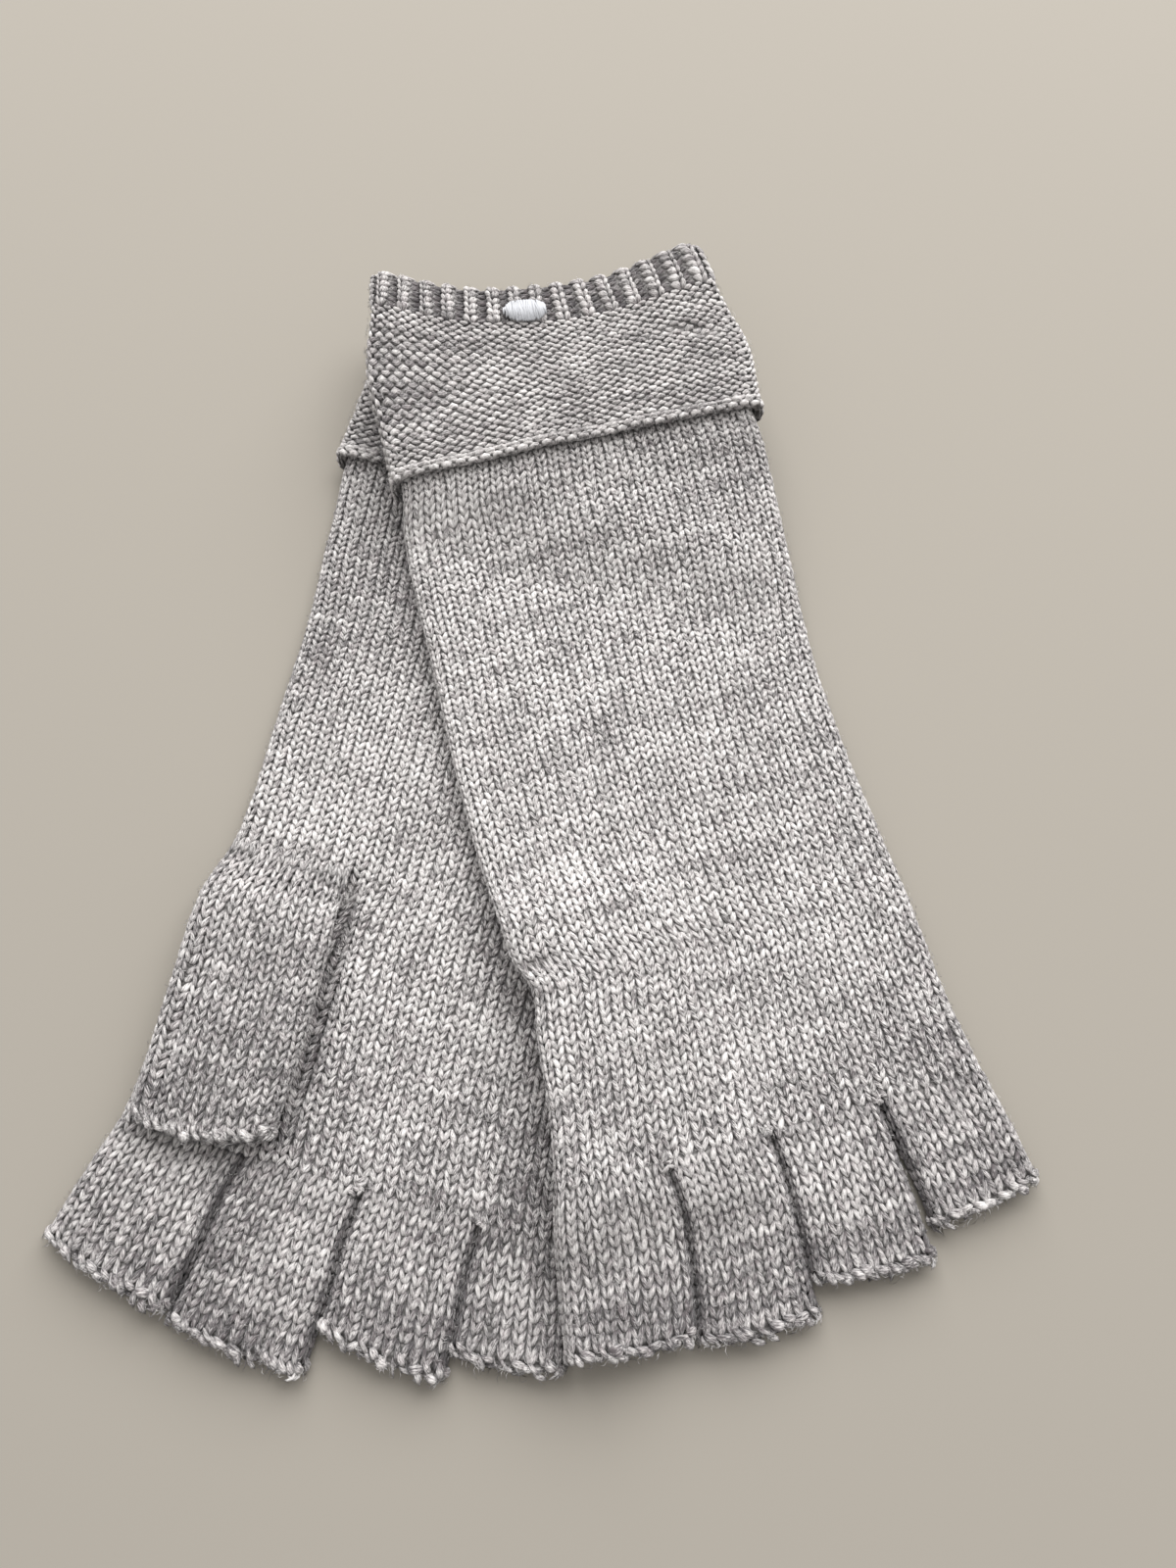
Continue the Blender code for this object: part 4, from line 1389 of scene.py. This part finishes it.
def lay_hair(yarn, i, j):
    """Loose fibres at any angle, of any length and lightness."""
    count = len(i)
    lean = yarn.random.uniform(-math.pi, math.pi, count)
    bright = yarn.random.normal(*HAIR_TONE, count)
    long = yarn.random.uniform(*HAIR_LONG, count)
    yarn.lay(HAIR, i, j, lift=0.45, lean=lean, uneven=2.0, bright=bright, long=long)


def lay_fuzz(yarn, courses, share=FUZZ):
    """Loose fibres all over the upper face of a tube's first courses, share of them to a stitch."""
    half = yarn.fabric.wales / 2.0
    count = int(share * half * courses)
    i, j = yarn.random.uniform(0.0, half, count), yarn.random.uniform(0, courses, count)
    shown = ~hidden(yarn.fabric, i, j, True)
    lay_hair(yarn, i[shown], j[shown])


def lay_knot(yarn, u, v):
    """A small heap of loops that closes the corner between two fingers."""
    i, j = yarn.fabric.find(u, v)
    random = yarn.random
    i = i + random.normal(0.0, KNOT_STRAY[0], KNOT_LOOPS)
    j = j + random.normal(0.0, KNOT_STRAY[1], KNOT_LOOPS)
    lean = random.uniform(-math.pi, math.pi, KNOT_LOOPS)
    yarn.lay(KNOT, i, j, size=0.8, lift=0.25, lean=lean, uneven=1.2, bright=-0.06)


def flat_size(fabric, length):
    """Once round a tube, and its length in courses, in metres."""
    return (fabric.wales * fabric.wale * MM, length * fabric.course * MM)


def dress(node, flat):
    """Hides the solid that a tube's wall and yarn stand for."""
    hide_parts(node)


def beside_thumb(u, v):
    """Painted shade: how much darker the palm's stitches are in the groove on the right of the thumb."""
    at, wide = GROOVE_SHADE_AT
    return -GROOVE_SHADE * bell(u - thumb("right", v) - at, wide) * along_thumb(v)


def beside_slit(fabric, glove, number, i):
    """Painted shade: how much darker a finger's stitches are on the sides that face another finger."""
    outside = float(fabric.wales)
    from_left = np.minimum(i, fabric.wales - i) + (outside if number == 0 else 0.0)
    from_right = np.abs(i - fabric.wales / 2.0) + (outside if number == len(FINGERS) - 1 else 0.0)
    return -SLIT_SHADE[glove] * bell(np.minimum(from_left, from_right), SLIT_SHADE_WIDE)


def make_hand(glove):
    """The hand and wrist in one tube: its upper stitches, its lower ones, its fuzz with the knots at the
    crotches, and the wall."""
    fabric = hand_fabric(glove)
    i, j = stitches(fabric)
    u, v = where(fabric, i, j)
    for top, face in faces_of(fabric, i):
        shown = face & ~hidden(fabric, i, j, top)
        bright = 0.0
        if glove == "lower" and top:
            shown &= ~(on_thumb(glove, u, v, THUMB_HIDES[glove]) & (v > THUMB_FOOT + THUMB_HIDES_FROM))
            bright = beside_thumb(u[shown], v[shown])
        if glove == "upper" and not top:
            shown &= ~on_thumb(glove, u, v, THUMB_HIDES[glove])
        yarn = Yarn(f"{glove}_hand_{'top' if top else 'under'}_stitches", fabric)
        form = KNIT_LEG if top else PLAIN_LEG
        lay_knit(yarn, form, i[shown], j[shown], twist=HAND_TWIST[glove], bright=bright)
        yarn.knit(finishes["yarn"])
    yarn = Yarn(f"{glove}_hand_fuzz", fabric)
    lay_fuzz(yarn, fabric.courses)
    slits = SLITS[glove] if glove == "upper" else SLITS[glove][1:]
    for slit in slits:
        lay_knot(yarn, slit[0], 0.0)
    yarn.knit(finishes["yarn"])
    station, count = stations()
    start = np.interp(HAND_INSIDE, station, count) + fabric.courses
    inside = np.linspace(start, -1.0, HAND_INSIDE_ROWS, endpoint=False)
    cloth = wall(f"{glove}_hand_cloth", fabric, (*inside, *range(-1, fabric.courses + 1)))
    flat = (flat_size(fabric, 0)[0], -HAND_INSIDE * MM)
    dress(f"{glove}_hand", flat)


def make_finger(glove, number):
    """A half finger: its stitches, with painted shade beside its neighbours and before its end, its cast-off
    and wall.
    """
    fabric = finger_fabric(glove, number)
    name = f"{glove}_{FINGERS[number]}"
    yarn = Yarn(f"{name}_stitches", fabric)
    i, j = stitches(fabric)
    j = np.minimum(j, fabric.courses - LAST_ROW)
    for top, face in faces_of(fabric, i):
        form = FINGER_LEG if top else PLAIN_LEG
        shade = beside_slit(fabric, glove, number, i[face])
        shade = shade - END_SHADE * bell(fabric.courses - END_COURSES - j[face], 1.0)
        lay_knit(yarn, form, i[face], j[face], FINGER_YARN, FINGER_TWIST, shade)
    lay_cast_off(yarn)
    lay_fuzz(yarn, fabric.courses)
    yarns = [yarn.knit(finishes["yarn_finger"])]
    cloth = wall(f"{name}_cloth", fabric, range(fabric.courses + 1))
    dress(name, flat_size(fabric, fabric.courses))


def make_thumb(glove):
    """A half thumb. The face that lies on the palm, or under it, has stitches near its two edges only."""
    fabric = thumb_fabric(glove)
    name = f"{glove}_thumb"
    lower = glove == "lower"
    yarn = Yarn(f"{name}_stitches", fabric, THUMB_TONE)
    i, j = stitches(fabric)
    half = fabric.wales / 2
    near_edge = np.minimum(i % half, half - i % half) < THUMB_EDGE
    for top, face in faces_of(fabric, i):
        shown = face if top == lower else face & near_edge
        form = KNIT_LEG if top and lower else PLAIN_LEG
        lay_knit(yarn, form, i[shown], j[shown], FINGER_YARN)
    lay_cast_off(yarn)
    if lower:
        lay_fuzz(yarn, fabric.courses)
    yarns = [yarn.knit(finishes["yarn_thumb"])]
    first = THUMB_BARE if lower else 0
    cloth = wall(f"{name}_cloth", fabric, range(first, fabric.courses + 1), depth=THUMB_DEPTH)
    dress(name, flat_size(fabric, fabric.courses - first))


def edge_tone(fabric, i, j):
    """How much lighter the yarn is on a cuff's rolled sides, and darker, with painted shade, in the line
    inside them.
    """
    u, v = where(fabric, i, j)
    left, right = cuff_sides(fabric.glove)(v)
    rolled = bell(np.minimum(u - left, right - u) + UNDER_CUFF, ROLLED_WIDE)
    return ROLLED_TONE * rolled - RIM_SHADE * rim_line(fabric.glove, u, v)


def make_band(glove):
    """The cuff's plain band, wrong side out: a head and a foot of yarn for each purl stitch, and two rows of
    thicker heads that round off its free edge."""
    fabric = band_fabric(glove)
    name = f"{glove}_cuff_band"
    yarn = Yarn(f"{name}_stitches", fabric, BAND_TONE)
    i, j = stitches(fabric)
    for top, face in faces_of(fabric, i):
        shown = face & ~hidden(fabric, i, j, top)
        i_face, j_face = i[shown], j[shown]
        tone = edge_tone(fabric, i_face, j_face)
        yarn.lay(PURL_HEAD, i_face, j_face + PURL_COURSE, uneven=0.8, bright=tone + 0.03)
        yarn.lay(PURL_FOOT, i_face + 0.5, j_face + BAND_FOOT_COURSE, uneven=0.8, bright=tone - 0.07)
    i = np.arange(fabric.wales) + 0.5
    for shift, j in BAND_RIM:
        yarn.lay(PURL_HEAD, i + shift, np.full(len(i), j), size=1.2, lift=0.15, bright=0.02)
    yarn.lay(RIM_LINK, i, np.full(len(i), BAND_RIM_COURSE), lift=-0.1, bright=-0.1)
    lay_fuzz(yarn, fabric.courses, CUFF_FUZZ)
    yarns = [yarn.knit(finishes["yarn_cuff"])]
    rows = (*range(0, fabric.courses, 2), fabric.courses)
    cloth = wall(f"{name}_cloth", fabric, rows)
    dress(name, flat_size(fabric, fabric.courses))


def make_rib(glove):
    """The rib at the fold: raised knit wales, with sunk purl wales between them, painted darker as shade."""
    fabric = rib_fabric(glove)
    name = f"{glove}_cuff_rib"
    yarn = Yarn(f"{name}_stitches", fabric, RIB_TONE)
    i, j = stitches(fabric)
    top = i < fabric.wales / 2
    if glove == "lower":
        shown = ~(hidden(fabric, i, j, True) & top & (j < BEFORE_FOLD))
        i, j, top = i[shown], j[shown], top[shown]
    raised = np.floor(i) % 2 == 0
    lay_knit(yarn, RIB_LEG, i[raised], j[raised])
    # the purl wales are painted darker: painted shade in the furrows between the ribs
    yarn.lay(PURL_HEAD, i[~raised], j[~raised] + PURL_COURSE, lift=-0.2, bright=-0.42, long=0.85)
    feet = ~raised & (top | (j >= BEFORE_FOLD))
    yarn.lay(PURL_FOOT, i[feet], j[feet] + RIB_FOOT_COURSE, lift=-0.25, bright=-0.45, long=0.85)
    lay_fuzz(yarn, RIB_FUZZ_COURSES, CUFF_FUZZ)
    yarns = [yarn.knit(finishes["yarn_cuff"])]
    cloth = wall(f"{name}_cloth", fabric, range(fabric.courses + 1), fine=2)
    dress(name, flat_size(fabric, fabric.courses))


def make_mark():
    """A small plain oval of white satin stitches on the upper cuff: threads side by side across its length,
    each as long as the oval is high there, and a looser layer of every third one on top."""

    def skin(i, j, grow):
        station = MARK_CENTRE[1] - MARK_REACH + j
        section = outline(i / HAND_WALES + 0.0 * j, hand_width("upper"), TUBE + 2.0 * UNDER_CUFF, EDGE_ROUND)
        sides, faces = hand_sides("upper"), hand_faces("upper")
        out = UNDER_CUFF + RIB_HIGH + grow
        return flat_tube(section, course("upper", station), sides, faces, out, relief_of("upper"))

    fabric = Fabric("upper", skin, HAND_WALES, 2 * MARK_REACH)
    yarn = Yarn("upper_mark_threads", fabric)
    turned = math.pi / 2.0
    middle, row = fabric.find(*MARK_CENTRE)
    across = np.arange(-MARK_HALF[0] + THREAD_FIRST, MARK_HALF[0], THREAD_PITCH)
    high = 2.0 * MARK_HALF[1] * np.sqrt(1.0 - np.abs(across / MARK_HALF[0]) ** 3)
    i = middle + across / fabric.wale
    yarn.lay(THREAD, i, np.full(len(i), row), lift=0.35, lean=turned, long=high / fabric.wale)
    i, high = i[::THREAD_TOP], high[::THREAD_TOP]
    long = THREAD_TOP_LONG * high / fabric.wale
    lean = yarn.random.normal(turned, THREAD_STRAY, len(i))
    yarn.lay(THREAD, i, np.full(len(i), row), lift=0.45, lean=lean, uneven=1.5, long=long)
    threads = yarn.knit(finishes["thread"])
    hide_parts("upper_mark")


# ---------------------------------------------------------------- settings


class GlovesYarn(bpy.types.PropertyGroup):
    """How the yarn looks."""

    contrast: bpy.props.FloatProperty(
        name="Marl contrast",
        description="How much light and dark fibres differ",
        default=3.2,
        min=0.0,
        max=6.0,
    )
    thread: bpy.props.FloatVectorProperty(
        name="Thread",
        description="Colour of the stitched mark",
        subtype="COLOR",
        default=(0.41, 0.415, 0.435),
    )


class GlovesStage(bpy.types.PropertyGroup):
    """The floor, the lights and the camera."""

    floor: bpy.props.FloatVectorProperty(
        name="Floor", description="Colour of the plain floor", subtype="COLOR", default=(0.24, 0.221, 0.192)
    )
    key: bpy.props.FloatProperty(
        name="Key light", description="Power of the large soft light", unit="POWER", default=76.0
    )
    fill: bpy.props.FloatProperty(
        name="Fill light", description="Strength of the even light from all round", default=0.82
    )
    height: bpy.props.FloatProperty(
        name="Camera height", description="Height of the camera", unit="LENGTH", default=0.2515
    )
    tilt: bpy.props.FloatProperty(
        name="Camera tilt",
        description="How far the camera is tipped up from straight down",
        subtype="ANGLE",
        default=math.radians(16.7),
    )
    lens: bpy.props.FloatProperty(name="Lens", description="Focal length", unit="CAMERA", default=27.045)


# ---------------------------------------------------------------- operators

# The stage, in metres
FLOOR_SIZE = 6.0
KEY_SIZE = (2.2, 1.6)
KEY_PLACE = (0.26, 1.18, 1.06)  # the large soft light, which points at the middle of the pair
ROOM_LIGHT = (1.0, 0.99, 0.975, 1.0)
SENSOR = 36.0  # millimetres
NEAREST = 0.005  # nothing nearer than this to the camera is drawn


class GLOVES_OT_finishes(bpy.types.Operator):
    """Makes the yarn, cloth and thread materials"""

    bl_idname = "gloves.finishes"
    bl_label = "Finishes"

    def execute(self, context):
        yarn = context.scene.gloves_yarn
        for name, share in YARNS.items():
            finishes[name] = yarn_finish(f"marl_{name}", share * yarn.contrast)
        finishes["cloth"] = cloth_finish()
        finishes["thread"] = thread_finish(tuple(yarn.thread))
        return {"FINISHED"}


class GLOVES_OT_hands(bpy.types.Operator):
    """Knits the hand and wrist of both gloves"""

    bl_idname = "gloves.hands"
    bl_label = "Hands"

    def execute(self, context):
        for glove in GLOVES:
            make_hand(glove)
        return {"FINISHED"}


class GLOVES_OT_fingers(bpy.types.Operator):
    """Knits the half fingers of both gloves"""

    bl_idname = "gloves.fingers"
    bl_label = "Fingers"

    def execute(self, context):
        for glove in GLOVES:
            for number in range(len(FINGERS)):
                make_finger(glove, number)
        return {"FINISHED"}


class GLOVES_OT_thumbs(bpy.types.Operator):
    """Knits the half thumbs of both gloves"""

    bl_idname = "gloves.thumbs"
    bl_label = "Thumbs"

    def execute(self, context):
        for glove in GLOVES:
            make_thumb(glove)
        return {"FINISHED"}


class GLOVES_OT_cuffs(bpy.types.Operator):
    """Knits the turned-back cuffs: the plain band and the rib at the fold"""

    bl_idname = "gloves.cuffs"
    bl_label = "Cuffs"

    def execute(self, context):
        for glove in GLOVES:
            make_band(glove)
            make_rib(glove)
        return {"FINISHED"}


class GLOVES_OT_mark(bpy.types.Operator):
    """Stitches the plain white oval on the upper cuff"""

    bl_idname = "gloves.mark"
    bl_label = "Mark"

    def execute(self, context):
        make_mark()
        return {"FINISHED"}


class GLOVES_OT_stage(bpy.types.Operator):
    """Sets the floor, the soft light and the camera"""

    bl_idname = "gloves.stage"
    bl_label = "Stage"

    def execute(self, context):
        stage = context.scene.gloves_stage
        paint = floor_finish(tuple(stage.floor))
        bpy.ops.mesh.primitive_plane_add(size=FLOOR_SIZE, location=(0.0, 0.0, 0.0))
        floor = context.active_object
        floor.name = "floor"
        floor.data.materials.append(paint)
        lamp = bpy.data.lights.new("key", "AREA")
        lamp.shape = "RECTANGLE"
        lamp.size, lamp.size_y = KEY_SIZE
        lamp.energy = stage.key
        key = bpy.data.objects.new("key", lamp)
        key.location = KEY_PLACE
        key.rotation_euler = Vector(key.location).to_track_quat("Z", "Y").to_euler()
        context.collection.objects.link(key)
        world = bpy.data.worlds.new("room")
        world.use_nodes = True
        background = world.node_tree.nodes["Background"]
        background.inputs["Color"].default_value = ROOM_LIGHT
        background.inputs["Strength"].default_value = stage.fill
        context.scene.world = world
        lens = bpy.data.cameras.new("camera")
        lens.lens = stage.lens
        lens.sensor_width = SENSOR
        lens.clip_start = NEAREST
        camera = bpy.data.objects.new("camera", lens)
        camera.location = (-PAIR_CENTRE[0] * MM, -PAIR_CENTRE[1] * MM, stage.height)
        camera.rotation_euler = (stage.tilt, 0.0, 0.0)
        context.collection.objects.link(camera)
        context.scene.camera = camera
        context.scene.view_settings.view_transform = "Standard"
        return {"FINISHED"}


class GLOVES_PT_panel(bpy.types.Panel):
    """Lists the steps of knitting the gloves"""

    bl_label = "Knitted gloves"
    bl_idname = "GLOVES_PT_panel"
    bl_space_type = "VIEW_3D"
    bl_region_type = "UI"
    bl_category = "Gloves"

    def draw(self, context):
        for name in ("contrast", "thread"):
            self.layout.prop(context.scene.gloves_yarn, name)
        for name in ("floor", "key", "fill", "height", "tilt", "lens"):
            self.layout.prop(context.scene.gloves_stage, name)
        for step in STEPS:
            self.layout.operator(step.bl_idname)


STEPS = (
    GLOVES_OT_finishes,
    GLOVES_OT_hands,
    GLOVES_OT_fingers,
    GLOVES_OT_thumbs,
    GLOVES_OT_cuffs,
    GLOVES_OT_mark,
    GLOVES_OT_stage,
)
CLASSES = (GlovesYarn, GlovesStage, *STEPS, GLOVES_PT_panel)


def register():
    """Makes the add-on's classes and settings known to Blender."""
    for made in CLASSES:
        bpy.utils.register_class(made)
    bpy.types.Scene.gloves_yarn = bpy.props.PointerProperty(type=GlovesYarn)
    bpy.types.Scene.gloves_stage = bpy.props.PointerProperty(type=GlovesStage)


def unregister():
    """Takes them away again."""
    del bpy.types.Scene.gloves_stage
    del bpy.types.Scene.gloves_yarn
    for made in reversed(CLASSES):
        bpy.utils.unregister_class(made)


def main():
    """Runs every step in order."""
    register()
    for step in STEPS:
        group, name = step.bl_idname.split(".")
        getattr(getattr(bpy.ops, group), name)()


if __name__ == "__main__":
    main()
